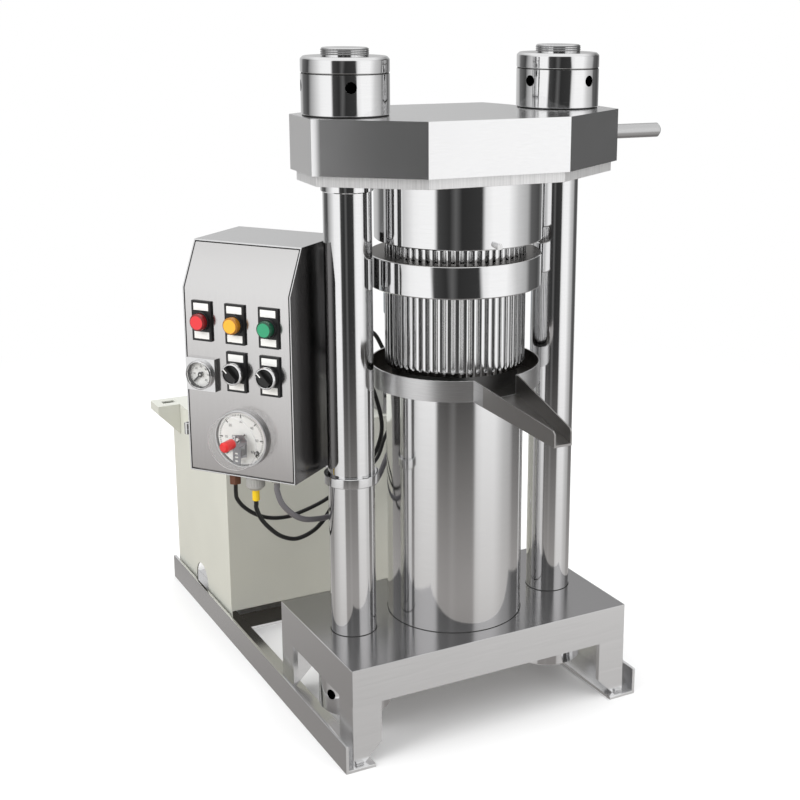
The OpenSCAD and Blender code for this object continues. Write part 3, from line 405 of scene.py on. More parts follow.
def darken(material, mask, colour, roughness):
    """Gives the places where mask is 1 another colour and roughness, such as a bored hole's painted shade."""
    tree, shader = material.node_tree, shader_of(material)
    for name, kind, value in (("Base Color", "RGBA", rgba(colour)), ("Roughness", "FLOAT", roughness)):
        socket = shader.inputs[name]
        before = socket.links[0].from_socket if socket.links else socket.default_value
        tree.links.new(mixed(tree, mask, before, value, kind), socket)


def add_relief(material, height, distance):
    """A larger bump over the grain's; a height of 1 stands for distance, in metres."""
    tree, normal = material.node_tree, shader_of(material).inputs["Normal"]
    bump = add_node(
        tree, "Bump", Height=height, Distance=distance, Strength=1.0, Normal=normal.links[0].from_socket)
    tree.links.new(bump.outputs[0], normal)


print("box turned by", round(math.degrees(BOX_TURN)), "degrees, columns", 2 * COLUMN_X, "mm apart")

# %% [markdown]
# Holes stay rough and are painted dark as shade. Painted shade also darkens the tray's floor, the
# spout's, the ring's top and the table's top, while the broken edges stay bright.

# %% Painted shade in holes, on tops, in the tray and the spout
HOLE_SHADE = 0.012
NUT_BORE, NUT_SKIN, NUT_FOOT, NUT_HEAD = 34.0, 1.0, 4.0, 5.0
TRAY_SHADE = (0.17, 0.16, 0.15)
TRAY_INSIDE = 133.5
SPOUT_INSIDE = 36.5
TOP_SKIN = 0.05


def bored_steel(name, piece):
    """Bright turned steel with painted shade below the skin: inside the nuts' round and off their ends."""
    material = steel(name, 0.92, 0.06, RINGS, depth=3)
    tree = material.node_tree
    low, high = piece_box(piece)
    place = parts_of_place(tree)
    reach = from_axis(tree, calc(tree, "ABSOLUTE", place["X"]), place["Y"], COLUMN_X * MM, PRESS_Y * MM)
    within = between(tree, reach, NUT_BORE * MM, high[0] - (COLUMN_X + NUT_SKIN) * MM)
    upright = between(tree, place["Z"], low[2] + NUT_FOOT * MM, high[2] - NUT_HEAD * MM)
    darken(material, calc(tree, "MULTIPLY", within, upright), HOLE_SHADE, 0.5)
    return material


def oiled_top(material, piece, colour, roughness):
    """The piece's flat top takes the colour as painted shade; its broken edges stay bright."""
    tree = material.node_tree
    top = piece_box(piece)[1][2] - TOP_SKIN * MM
    darken(material, calc(tree, "GREATER_THAN", parts_of_place(tree)["Z"], top), colour, roughness)
    return material


top_nut_steel = bored_steel("top_nut_steel", "top_nuts")
base_nut_steel = bored_steel("base_nut_steel", "base_nuts")
# Painted shade on the ring's top and the table's top.
ring_steel = oiled_top(
    steel("ring_steel", 0.92, 0.06, RINGS, depth=3), "barrel_ring", (0.10, 0.09, 0.08), 0.3)
block_steel = oiled_top(
    steel("block_steel", 0.88, 0.22, ALONG_X, depth=10), "base_block", (0.42, 0.415, 0.42), 0.17)
tray_steel = steel("tray_steel", 0.84, 0.34, ROLLED, depth=20, tone=0.12)
tree = tray_steel.node_tree
# Painted shade inside the tray.
darken(tray_steel, calc(tree, "LESS_THAN", from_press(tree), TRAY_INSIDE * MM), TRAY_SHADE, 0.3)
spout_steel = steel("spout_steel", 0.66, 0.30, ROLLED, depth=20, tone=0.12)
tree = spout_steel.node_tree
# Painted shade on the spout's floor.
spout_floor_shade = between(tree, parts_of_place(tree)["X"], -SPOUT_INSIDE * MM, SPOUT_INSIDE * MM)
darken(spout_steel, spout_floor_shade, (0.40, 0.39, 0.38), 0.3)
# In this print, bored and oiled name the places of painted shade.
print("bored: nuts; oiled: ring, table, tray and spout")

# %% [markdown]
# The barrel's ribs are rolled, not flat, so each one shows the whole studio as fine light and dark
# lines. The model has the slots, and the ribs' rounding is in the bump. The slots' floors are
# painted a little darker as shade.

# %% The slotted barrel's steel
SLOT_COUNT = 54
BARREL_RADIUS = 111.0
RIB_SKIN = 0.6
RIB_RELIEF = 0.0005


def slotted_steel():
    """Ribs with rolled faces: the bump is -depth * s^2, where s runs from -2 to 2 across each rib."""
    material = steel("barrel_steel", 0.93, 0.10, UPRIGHT, depth=4)
    tree = material.node_tree
    place = parts_of_place(tree)
    turn = calc(tree, "ARCTAN2", calc(tree, "SUBTRACT", place["Y"], PRESS_Y * MM), place["X"])
    count = calc(tree, "MULTIPLY", turn, SLOT_COUNT / (2 * math.pi))
    rib = calc(tree, "FRACT", calc(tree, "ADD", count, 100.0))
    across = calc(tree, "MULTIPLY", calc(tree, "SUBTRACT", rib, 0.5), 4.0)
    height = calc(tree, "MULTIPLY", calc(tree, "POWER", across, 2.0), -1.0)
    add_relief(material, height, RIB_RELIEF)
    # The slots' floors get a painted shade.
    inside = calc(tree, "LESS_THAN", from_press(tree), (BARREL_RADIUS - RIB_SKIN) * MM)
    darken(material, inside, 0.80, 0.2)
    return material


barrel_steel = slotted_steel()
print(barrel_steel.name, "has", SLOT_COUNT, "ribs")

# %% [markdown]
# The beam was buffed by hand: the wheel rolled its left end over, and the sawn end faces stayed
# matt. The box's front is brushed, and painted shade makes it a little darker towards its foot. Its
# side is painted dark as shade, and the contact gauge's case has a dark face behind its bright rim.

# %% The beam's and the panel's steel
BUFFED_RUN, BUFFED_RISE = 0.011, 0.0009
END_FACE = 0.97
SAWN = 0.97
PANEL_FOOT, PANEL_HEAD, FOOT_SHARE = 0.0, 290.0, 0.61
CASE_FACE = 9.5
SIDE_SKIN = 0.6


def past(material, way, limit, colour, roughness):
    """The part of a piece that lies further than limit across (0), up (1) or out (2) takes the colour."""
    tree = material.node_tree
    darken(material, calc(tree, "GREATER_THAN", on_panel_axes(tree)[way], limit * MM), colour, roughness)


def buffed_beam(material):
    """The bump is -rise * (1 - x / run)^2 near the left end, and faces that look along x stay matt."""
    tree = material.node_tree
    start = piece_box("beam")[0][0]
    reach = rescale(tree, parts_of_place(tree)["X"], start, start + BUFFED_RUN, 1.0, 0.0)
    height = calc(tree, "MULTIPLY", calc(tree, "POWER", reach, 2.0), -1.0)
    add_relief(material, height, BUFFED_RISE)
    facing = add_node(tree, "SeparateXYZ", Vector=add_node(tree, "TexCoord").outputs["Normal"]).outputs
    sawn = calc(tree, "GREATER_THAN", calc(tree, "ABSOLUTE", facing["X"]), END_FACE)
    darken(material, sawn, SAWN, 0.7)


def haze(material):
    """Painted shade: the sheet's colour runs from its share at the panel's foot to 1 at its top, warmer
    below.
    """
    tree, shader = material.node_tree, shader_of(material)
    rise = rescale(tree, on_panel_axes(tree)[1], PANEL_FOOT * MM, PANEL_HEAD * MM)
    foot = (FOOT_SHARE, FOOT_SHARE * 0.965, FOOT_SHARE * 0.945)
    tint = ramp(tree, rise, [(0.0, foot), (1.0, (1.0, 0.99, 0.98))])
    colour = shader.inputs["Base Color"]
    tree.links.new(mixed(tree, 1.0, colour.links[0].from_socket, tint, blend_type="MULTIPLY"), colour)


buffed_beam(beam_steel)
haze(panel_steel)
# The box's side is painted dark as shade.
past(sheet_steel, 0, BOX_WIDTH - SIDE_SKIN, (0.22, 0.215, 0.215), 0.24)
case_steel = steel("case_steel", 0.95, 0.42, EVEN, depth=10)
past(case_steel, 2, CASE_FACE, (0.34, 0.34, 0.36), 0.35)
print("changed:", beam_steel.name, panel_steel.name, sheet_steel.name, case_steel.name)

# %% [markdown]
# The tank is sprayed with a pale grey-green gloss paint. Its surface has the faint orange peel of
# a spray gun, and its colour drifts a little. Plastics and cable sheaths are made the same way
# with their own grain.

# %% Paint, plastic and rubber


def coated(name, colour, roughness, grain=900.0, depth=20, drift=0.05, coat=0.0, metallic=0.0):
    """A coated or moulded surface: fine round grain in the bump and a slow drift of the colour."""
    material, tree, shader = principled(
        name, Roughness=roughness, Metallic=metallic, Coat_Weight=coat, Coat_Roughness=0.08)
    peel = stretched_noise(tree, (grain, grain, grain), detail=1.0)
    slow = stretched_noise(tree, (5.0, 5.0, 5.0), detail=2.0)
    low = tuple(channel * (1.0 - drift) for channel in colour)
    high = tuple(min(1.0, channel * (1.0 + drift)) for channel in colour)
    tree.links.new(ramp(tree, slow, [(0.35, low), (0.65, high)]), shader.inputs["Base Color"])
    bump = add_node(tree, "Bump", Height=peel, Distance=depth * MICRON, Strength=1.0)
    tree.links.new(bump.outputs[0], shader.inputs["Normal"])
    return material


def clear_plastic():
    """Clear cover: light passes straight through it, with a thin gloss on top."""
    material, tree, shader = principled(
        "clear_plastic", Base_Color=(0.60, 0.61, 0.61, 1.0), Roughness=0.06, Alpha=0.07, IOR=1.6)
    fine = stretched_noise(tree, (40.0, 40.0, 40.0), detail=1.0)
    tree.links.new(rescale(tree, fine, 0.0, 1.0, 0.03, 0.10), shader.inputs["Roughness"])
    return material


tank_paint = coated("tank_paint", (0.67, 0.68, 0.62), 0.38, grain=350.0, depth=40, drift=0.03, coat=0.2)
motor_paint = coated("motor_paint", (0.22, 0.25, 0.27), 0.45, grain=500.0, depth=80)
black_plastic = coated("black_plastic", (0.016, 0.016, 0.017), 0.42)
knob_black = coated("knob_black", (0.012, 0.012, 0.012), 0.30)
white_plastic = coated("white_plastic", (0.86, 0.86, 0.84), 0.35, drift=0.02)
grey_plastic = coated("grey_plastic", (0.37, 0.37, 0.36), 0.5)
red_plastic = coated("red_plastic", (0.72, 0.022, 0.022), 0.28, coat=0.4)
yellow_plastic = coated("yellow_plastic", (0.86, 0.58, 0.01), 0.4)
brown_metal = coated("brown_metal", (0.15, 0.06, 0.035), 0.4, metallic=0.3)
black_sheath = coated("black_sheath", (0.010, 0.010, 0.009), 0.34)
grey_sheath = coated("grey_sheath", (0.17, 0.165, 0.18), 0.45)
clear_cover = clear_plastic()
print(len(bpy.data.materials), "materials so far")

# %% [markdown]
# A lamp's lens is painted darker at its rim as shade. The red knob's stem is bare metal, and the
# tank's hollow foot is painted dark inside as shade.

# %% Lamps, the knob's stem and the tank's foot
DEVICE_COLUMNS = (34.0, 92.0, 150.0)
LAMP_ROW = 242.0
LENS_FACE = 10.4
SETTING_CAP = 32.0
TANK_FOOT = 93.0
TANK_SKIN = 2.0


def lens(name, colour, across, rim):
    """A lamp's lens: beyond the radius of its face it takes its rim's colour, a painted shade."""
    material = coated(name, colour, 0.22, drift=0.08, coat=0.5)
    tree = material.node_tree
    ways = on_panel_axes(tree)
    reach = from_axis(tree, ways[0], ways[1], across * MM, LAMP_ROW * MM)
    darken(material, calc(tree, "GREATER_THAN", reach, LENS_FACE * MM), rim, 0.3)
    return material


def dark_inside(material):
    """Low down and more than a sheet inside its outer faces, the tank is painted dark as shade."""
    tree = material.node_tree
    low, high = piece_box("tank_body")
    place = parts_of_place(tree)
    mask = calc(tree, "LESS_THAN", place["Z"], TANK_FOOT * MM)
    for axis, number in (("X", 0), ("Y", 1)):
        inside = between(tree, place[axis], low[number] + TANK_SKIN * MM, high[number] - TANK_SKIN * MM)
        mask = calc(tree, "MULTIPLY", mask, inside)
    darken(material, mask, (0.13, 0.12, 0.09), 0.6)


# Each lens's last colour is the painted shade at its rim.
red_lens = lens("red_lens", (0.74, 0.022, 0.03), DEVICE_COLUMNS[0], (0.22, 0.008, 0.01))
yellow_lens = lens("yellow_lens", (0.86, 0.42, 0.02), DEVICE_COLUMNS[1], (0.42, 0.17, 0.01))
green_lens = lens("green_lens", (0.015, 0.30, 0.14), DEVICE_COLUMNS[2], (0.005, 0.07, 0.035))
tree = red_plastic.node_tree
stem = calc(tree, "LESS_THAN", on_panel_axes(tree)[2], SETTING_CAP * MM)
darken(red_plastic, stem, (0.35, 0.34, 0.34), 0.4)
dark_inside(tank_paint)
print("lenses at", DEVICE_COLUMNS, "mm across the panel")

# %% [markdown]
# Every piece of the model gets its finish here. Real edges are never knife sharp: they are broken
# with a file or rolled over by a press, and that thin line of light makes metal look solid. A weld
# joins the loose triangles, a bevel breaks the edges, and weighted normals keep flat faces flat.

# %% Dress the model's pieces
# Finish, width of the broken edge in millimetres, pieces
FINISHES = [
    (table_steel, 0.8, "left_rail right_rail"), (table_steel, 0.5, "cross_plates"),
    (table_steel, 1.0, "table_legs"), (table_steel, 0.6, "box_arm"), (block_steel, 1.4, "base_block"),
    (mirror_column, 0, "left_column right_column ram"), (base_nut_steel, 0.8, "base_nuts"),
    (top_nut_steel, 0.8, "top_nuts"), (turned_bright, 1.2, "lock_rings"),
    (turned_bright, 0, "column_collars press_head"), (turned_satin, 0.8, "hydraulic_cylinder"),
    (turned_satin, 0.6, "clamp_collar"), (turned_satin, 0, "pressure_pipe"),
    # The seat ring's dark steel is painted shade.
    (dull_and_shaded_steel, 0, "cylinder_gland pressing_plate seat_ring gear_pump"), (dull_and_shaded_steel, 1.0, "valve_block"),
    (tray_steel, 0.5, "oil_tray"), (spout_steel, 0.5, "tray_spout"), (barrel_steel, 0.5, "pressing_barrel"),
    (ring_steel, 0.6, "barrel_ring"), (beam_steel, 0.8, "beam"), (plate_steel, 0.8, "beam_under_plate"),
    (matt_steel, 0.6, "head_pin"), (handle_steel, 0, "handle_rod"), (tank_paint, 1.2, "tank_body"),
    (tank_paint, 0.8, "tank_cover lifting_ears"), (motor_paint, 0, "drive_motor motor_fan_cover"),
    (motor_paint, 1.5, "terminal_box"), (sheet_steel, 0.4, "box_body"), (panel_steel, 1.2, "box_front"),
    (black_plastic, 0.5, "label_plates"), (white_plastic, 0.2, "label_inserts"), (red_lens, 0, "red_lamp"),
    (yellow_lens, 0, "yellow_lamp"), (green_lens, 0, "green_lamp"), (black_plastic, 0.3, "selector_bezels"),
    (knob_black, 0.4, "left_selector_knob right_selector_knob"), (gauge_steel, 0.5, "oil_gauge_case"),
    (case_steel, 0.2, "contact_gauge_case"), (black_plastic, 0, "oil_gauge_pointer contact_gauge_pointer"),
    (red_plastic, 0.5, "contact_gauge_setting_knob"), (white_plastic, 0, "gauge_dials"),
    (clear_cover, 0, "gauge_glasses"), (brown_metal, 0.4, "hose_fitting"), (grey_plastic, 0, "cable_gland"),
    (yellow_plastic, 0, "gland_sleeve"), (black_sheath, 0, "ram_seal gauge_hose supply_cable"),
    (grey_sheath, 0, "control_cable"),
]
SMOOTH_ANGLE = math.radians(32)


def smooth_by_angle():
    """A modifier group that shades smooth wherever neighbouring faces meet at less than the angle."""
    group = bpy.data.node_groups.new("smooth_by_angle", "GeometryNodeTree")
    for way in ("INPUT", "OUTPUT"):
        group.interface.new_socket("Geometry", in_out=way, socket_type="NodeSocketGeometry")
    start, faces, edges, end, angle, compare = (group.nodes.new(kind) for kind in (
        "NodeGroupInput", "GeometryNodeSetShadeSmooth", "GeometryNodeSetShadeSmooth", "NodeGroupOutput",
        "GeometryNodeInputMeshEdgeAngle", "FunctionNodeCompare"))
    edges.domain = "EDGE"
    edges.inputs["Shade Smooth"].default_value = False
    compare.operation = "GREATER_THAN"
    compare.inputs[1].default_value = SMOOTH_ANGLE
    for source, target in (
            (angle.outputs[0], compare.inputs[0]), (compare.outputs[0], edges.inputs["Selection"]),
            (start.outputs[0], faces.inputs["Geometry"]), (faces.outputs[0], edges.inputs["Geometry"]),
            (edges.outputs[0], end.inputs[0])):
        group.links.new(source, target)
    return group


smooth_group = smooth_by_angle()


def mark_outer_edges(piece, sides):
    """Weights for the bevel: 1 on edges that lie in two of the outer planes, given as (axis, end)."""
    mesh = piece.data
    points = np.empty(3 * len(mesh.vertices), np.float32)
    mesh.vertices.foreach_get("co", points)
    points = points.reshape(-1, 3)
    ends = [points.min(axis=0), points.max(axis=0)]
    on = np.stack([np.abs(points[:, axis] - ends[end][axis]) < 0.00005 for axis, end in sides], -1)
    pairs = np.empty(2 * len(mesh.edges), np.int32)
    mesh.edges.foreach_get("vertices", pairs)
    first, second = pairs.reshape(-1, 2).T
    weight = ((on[first] & on[second]).sum(axis=1) >= 2).astype(np.float32)
    mesh.attributes.new("bevel_weight_edge", "FLOAT", "EDGE").data.foreach_set("value", weight)
    print(piece.name, int(weight.sum()), "outer edges marked")


OUTER_SIDES = {
    "table_legs": [(0, 0), (0, 1), (1, 0), (1, 1)],
    "base_block": [(0, 0), (0, 1), (1, 0), (1, 1), (2, 1)]}


def finish_edges(piece, bevel_mm):
    """Weld, bevel and smooth modifiers on a piece; a bevel of 0 leaves its edges as modelled."""
    piece.modifiers.new("weld", "WELD").merge_threshold = 0.00001
    if bevel_mm:
        bevel = piece.modifiers.new("bevel", "BEVEL")
        bevel.width = bevel_mm * MM
        bevel.segments = 2
        bevel.limit_method = "WEIGHT" if piece.name in OUTER_SIDES else "ANGLE"
        bevel.angle_limit = SMOOTH_ANGLE
        if piece.name in OUTER_SIDES:
            mark_outer_edges(piece, OUTER_SIDES[piece.name])
    piece.modifiers.new("smooth", "NODES").node_group = smooth_group
    if bevel_mm:
        piece.modifiers.new("normals", "WEIGHTED_NORMAL").keep_sharp = True


def dress(name, material, bevel_mm):
    """One piece of the model in its finish, with its edges broken."""
    piece = nodes[name]
    if not piece.material_slots:
        piece.data.materials.append(material)
    for place in piece.material_slots:
        place.material = material
    finish_edges(piece, bevel_mm)


dressed = [(name, material, bevel_mm) for material, bevel_mm, names in FINISHES for name in names.split()]
for name, material, bevel_mm in dressed:
    dress(name, material, bevel_mm)
print("dressed", len(dressed), "of", len(nodes), "pieces")

# %% [markdown]
# The fine pieces are grids of points with faces between neighbours: tubes, turned rings and welds.
# Their points are written in millimetres and become metres when the mesh is made.

# %% Shape helpers


def grid_faces(rows, columns, closed_rows=False):
    """Four-sided faces between neighbours of a grid whose columns go round; rows may close as well."""
    row = np.arange(rows if closed_rows else rows - 1)[:, None]
    column = np.arange(columns)[None, :]
    above, beside = (row + 1) % rows, (column + 1) % columns
    corners = [
        row * columns + column, row * columns + beside, above * columns + beside, above * columns + column]
    return np.stack(corners, -1).reshape(-1, 4)


def end_caps(rows, columns):
    """One face over each end of a tube, both looking outwards."""
    start = np.arange(columns)[::-1]
    return [start.tolist(), ((rows - 1) * columns + np.arange(columns)).tolist()]


def add_piece(name, shape, material, body="frame", replaces=()):
    """A mesh from (points, faces) at its place on the machine, riding on a body."""
    points, faces = shape
    mesh = bpy.data.meshes.new(name)
    mesh.from_pydata((np.asarray(points).reshape(-1, 3) * MM).tolist(), [], [list(face) for face in faces])
    mesh.materials.append(material)
    piece = bpy.data.objects.new(name, mesh)
    bpy.context.scene.collection.objects.link(piece)
    piece.modifiers.new("smooth", "NODES").node_group = smooth_group
    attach(piece, body)
    if replaces:
        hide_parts(*replaces)
    print(name, len(mesh.vertices), "points", len(mesh.polygons), "faces")


def full_turn(steps):
    """Angles all the way round, as one row."""
    return np.linspace(0, 2 * np.pi, steps, endpoint=False)[None, :]


def round_axis(radius, height, steps):
    """Rows of points (radius * cos a, radius * sin a, height), for angles a all the way round."""
    angle = full_turn(steps)
    return np.stack([radius * np.cos(angle), radius * np.sin(angle), height + 0 * angle], -1)


def moved(shape, way):
    """The same shape, moved by (x, y, z)."""
    points, faces = shape
    return points + np.asarray(way), faces


def turned(profile, steps=96):
    """A turned ring: each (radius, height) of a closed profile goes round in a circle."""
    radius, height = np.asarray(profile, float).T[:, :, None]
    return round_axis(radius, height, steps).reshape(-1, 3), grid_faces(len(profile), steps, closed_rows=True)


# %% [markdown]
# Every hose and cable is a circle carried along a smooth route. The route's points are the model's
# own, and between two points it bends by the Catmull-Rom rule. The sideways direction comes from
# one fixed vector that no route runs along, so the circles never twist.

# %% Hoses, cables and the pressure pipe
TWIST_REFERENCE = np.array([1.0, -1.0, 0.0])


def panel_place(across, up, out=0.0):
    """A point given across, up and out from the lower left corner of the control box's front."""
    across, up, out = (np.asarray(part, float)[..., None] for part in (across, up, out))
    return BOX_CORNER + across * ACROSS + up * UPWARD + out * OUTWARD


def smooth_route(points, steps):
    """Catmull-Rom: between two points, half of (2b + (c-a)t + (2a-5b+4c-d)t^2 + (3b-a-3c+d)t^3)."""
    p = np.asarray(points, float)
    a, b, c, d = np.vstack([p[:1], p[:-2]]), p[:-1], p[1:], np.vstack([p[2:], p[-1:]])
    t = np.linspace(0, 1, steps, endpoint=False)[None, :, None]
    a, b, c, d = (part[:, None, :] for part in (a, b, c, d))
    curve = 0.5 * (2 * b + (c - a) * t + (2 * a - 5 * b + 4 * c - d) * t**2 + (3 * b - a - 3 * c + d) * t**3)
    return np.vstack([curve.reshape(-1, 3), p[-1:]])


def tube(path, radius, sides=20):
    """Centre plus radius times (cos a * side + sin a * up), for each angle a at each point of a path."""
    along = np.gradient(path, axis=0)
    along /= np.linalg.norm(along, axis=1, keepdims=True)
    side = np.cross(along, TWIST_REFERENCE)
    side /= np.linalg.norm(side, axis=1, keepdims=True)
    up = np.cross(along, side)
    angle = np.linspace(0, 2 * np.pi, sides, endpoint=False)[None, :, None]
    radius = np.broadcast_to(np.asarray(radius, float), (len(path),))[:, None, None]
    points = path[:, None] + radius * (np.cos(angle) * side[:, None] + np.sin(angle) * up[:, None])
    return points, grid_faces(len(path), sides).tolist() + end_caps(len(path), sides)


def add_tube(name, route, diameter, material):
    """A round line along its route, in place of the model's own, with its length printed."""
    path = smooth_route(route, 8)
    add_piece(name, tube(path, diameter / 2), material, replaces=(name,))
    print(name, "is", round(float(np.linalg.norm(np.diff(path, axis=0), axis=1).sum())), "mm long")


def drop(start, *lengths):
    """Points straight below a start, so that a line leaves its fitting square."""
    return [start] + [start - np.array([0.0, 0.0, length]) for length in lengths]


add_tube("gauge_hose", drop(panel_place(72, -17, -14), 8, 16) + [
    (-344, -344, 384), (-331, -339, 366), (-308, -332, 347), (-281, -324, 334), (-250, -314, 327),
    (-226, -306, 327), (-195, -296, 330), (-167, -286, 335), (-119, -270, 350), (-62, -250, 373),
    (-37, -235, 406), (-9, -215, 428), (20, -180, 436), (44, -134, 432), (60, -92, 420),
    (68, -61, 411), (68, -43, 411), (68, -23, 411)], 6.5, black_sheath)
add_tube("supply_cable", drop(panel_place(107, -41, -16), 6, 13) + [
    (-316, -370, 356), (-303, -366, 338), (-281, -357, 316), (-255, -346, 301), (-233, -336, 297),
    (-208, -326, 301), (-189, -318, 311), (-176, -314, 324), (-145, -308, 361), (-112, -304, 384),
    (-88, -300, 402), (-73, -296, 432), (-70, -292, 460), (-77, -288, 496), (-90, -284, 538),
    (-94, -280, 579), (-86, -274, 606), (-68, -266, 600), (-47, -256, 568), (-17, -240, 522),
    (30, -205, 492), (80, -162, 486), (122, -116, 484), (145, -78, 484), (150, -65, 484),
    (150, -51, 484), (150, -37, 484)], 7.0, black_sheath)
add_tube("control_cable", drop(panel_place(144, -6, -18), 7, 15) + [
    (-290, -394, 384), (-270, -387, 360), (-249, -378, 345), (-225, -366, 336), (-195, -352, 330),
    (-157, -334, 332), (-118, -316, 342), (-82, -300, 360), (-58, -284, 386), (-33, -264, 410),
    (0, -238, 428), (40, -196, 444), (90, -150, 452), (142, -106, 460), (180, -86, 476),
    (196, -73, 496), (196, -59, 500), (196, -48, 500), (196, -37, 500)], 9.0, grey_sheath)
add_tube("pressure_pipe", [
    (84, -23, 403), (84, -33, 403), (84, -43, 403), (84, -56, 395), (84, -63, 377), (84, -65, 323),
    (84, -65, 296), (84, -67, 260), (80, -75, 238), (68, -87, 228), (44, -107, 226), (20, -218, 226),
    (6, -236, 226), (0, -260, 226), (0, -278, 226), (0, -294, 226), (0, -310, 226)],
    14.0, turned_satin)

# %% [markdown]
# The thread on a column's end shows as a few fine ridges above the lock ring, in steel painted darker
# as shade. Its radius is the column's plus a ridge that climbs one pitch in each turn.

# %% Threads on the columns' ends
THREAD_RADIUS, THREAD_PITCH, THREAD_DEPTH = 34.4, 3.0, 1.1


def thread(low, high, rows=60, steps=96):
    """Radius = root + depth * ridge(height / pitch - angle / full turn); the ridge fades at both ends."""
    height = np.linspace(low, high, rows)[:, None]
    phase = (height / THREAD_PITCH - full_turn(steps) / (2 * np.pi)) % 1.0
    fade = np.clip(np.minimum(height - low, high - height) / 1.2, 0.0, 1.0)
    radius = THREAD_RADIUS + THREAD_DEPTH * fade * (1 - np.abs(2 * phase - 1))
    inner = np.full((1, steps), THREAD_RADIUS - 2)
    radius = np.vstack([inner, radius, inner])
    height = np.vstack([height[:1], height, height[-1:]])
    return round_axis(radius, height, steps), grid_faces(rows + 2, steps, closed_rows=True)


lock_top = piece_box("lock_rings")[1][2] / MM
column_top = piece_box("left_column")[1][2] / MM
for side, x in COLUMNS.items():
    ridges = moved(thread(lock_top + 0.3, column_top - 1.2), (x, PRESS_Y, 0.0))
    add_piece(f"{side}_column_thread", ridges, shaded_thread_steel)

# %% [markdown]
# Each leg is welded to its rail by one short run. A weld is a row of overlapping drops, so its
# radius swells and shrinks along its length, and it ends in rounded tips.

# %% Welds at the legs' feet


def weld(start, end, radius, drops=6):
    """A tube whose radius is an arch along its length, times a ripple with one wave for each drop."""
    t = np.linspace(0, 1, 12 * drops + 1)
    arch = np.sqrt(np.clip(1 - (2 * t - 1) ** 8, 0.0004, 1))
    ripple = 1 + 0.14 * np.abs(np.sin(np.pi * drops * t))
    path = np.asarray(start) + t[:, None] * (np.asarray(end) - np.asarray(start))
    return tube(path, radius * arch * ripple, sides=16)


leg_low, leg_high = piece_box("table_legs") / MM
FOOT_FROM, FOOT_TO = 3.0, 17.0
WELD_UP, WELD_RADIUS = 7.0, 3.2
for side, x, inward in (("left", leg_low[0], 1), ("right", leg_high[0], -1)):
    for end, y in (("front", leg_low[1] - 1.5), ("back", leg_high[1] + 1.5)):
        bead = weld((x + inward * FOOT_FROM, y, WELD_UP), (x + inward * FOOT_TO, y, WELD_UP), WELD_RADIUS)
        add_piece(f"{end}_{side}_weld", bead, weld_steel)

# %% [markdown]
# A dial is read by its marks: thin bars that point at the middle, with the numbers inside them.
# Both are laid out flat first, with the dial's middle at zero, and then carried to the panel by
# three directions: across, up and outwards.

# %% Marks and numbers of the dials
SWEEP_START, SWEEP = 225.0, 270.0
NUMBERS = range(0, 70, 10)
GAUGE_AT = (31.0, 159.0)
CONTACT_AT = (97.0, 64.0)
BAR_FACES = np.array([[0, 2, 3, 1], [4, 5, 7, 6], [0, 1, 5, 4], [2, 6, 7, 3], [0, 4, 6, 2], [1, 3, 7, 5]])


def radial_bars(angles, inner, outer, width, low, high):
    """Boxes along a radius: corners at inner or outer radius, half a width to either side, low or high."""
    a = np.radians(np.asarray(angles, float))[:, None]
    reach, side, level = (part.ravel() for part in np.meshgrid(
        [inner, outer], [-width / 2, width / 2], [low, high], indexing="ij"))
    points = np.stack(
        [reach * np.cos(a) - side * np.sin(a), reach * np.sin(a) + side * np.cos(a), level + 0 * a], -1)
    faces = BAR_FACES[None] + 8 * np.arange(len(a))[:, None, None]
    return points.reshape(-1, 3), faces.reshape(-1, 4)


def on_panel(shape, across, up):
    """A shape laid out as (across, up, out) round its middle, carried to across and up on the panel."""
    points, faces = shape
    points = np.asarray(points, float).reshape(-1, 3)
    return panel_place(across + points[:, 0], up + points[:, 1], points[:, 2]), faces


def number_mesh(text, height, thickness):
    """A number as a thin solid, its middle at zero, from Blender's own font."""
    curve = bpy.data.curves.new("number", "FONT")
    curve.body, curve.size, curve.extrude = text, height, thickness / 2
    curve.align_x, curve.align_y = "CENTER", "CENTER"
    holder = bpy.data.objects.new("number", curve)
    bpy.context.scene.collection.objects.link(holder)
    mesh = bpy.data.meshes.new_from_object(holder.evaluated_get(bpy.context.evaluated_depsgraph_get()))
    points = np.empty(3 * len(mesh.vertices))
    mesh.vertices.foreach_get("co", points)
    faces = [list(polygon.vertices) for polygon in mesh.polygons]
    bpy.data.objects.remove(holder)
    bpy.data.curves.remove(curve)
    bpy.data.meshes.remove(mesh)
    return points.reshape(-1, 3), faces


def joined(parts):
    """One list of points and faces from several, the faces counted on."""
    points, faces, count = [], [], 0
    for part_points, part_faces in parts:
        points.append(part_points)
        faces += [[int(corner) + count for corner in face] for face in part_faces]
        count += len(part_points)
    return np.vstack(points), faces


def dial_marks(name, at, face, rim, minor, number_height, number_radius):
    """Long and short marks at the rim of a dial and its numbers, on the face at that height."""
    long_at = SWEEP_START - SWEEP * np.linspace(0, 1, len(NUMBERS))
    short_at = SWEEP_START - SWEEP * np.linspace(0, 1, minor * (len(NUMBERS) - 1) + 1)
    parts = [
        radial_bars(long_at, rim * 0.82, rim * 0.97, max(1.3, rim * 0.045), face - 0.1, face + 0.15),
        radial_bars(short_at, rim * 0.90, rim * 0.97, max(0.6, rim * 0.022), face - 0.1, face + 0.15)]
    for number, angle in zip(NUMBERS, np.radians(long_at)):
        points, faces = number_mesh(str(number), number_height, 0.2)
        shift = (number_radius * math.cos(angle), number_radius * math.sin(angle), face + 0.05)
        parts.append((points + shift, faces))
    add_piece(name, on_panel(joined(parts), *at), black_plastic)


dial_marks("oil_gauge_marks", GAUGE_AT, face=6.0, rim=19.4, minor=5, number_height=4.8, number_radius=12.2)
dial_marks(
    "contact_gauge_marks", CONTACT_AT, face=4.0, rim=40.0, minor=10, number_height=6.0, number_radius=27.0)

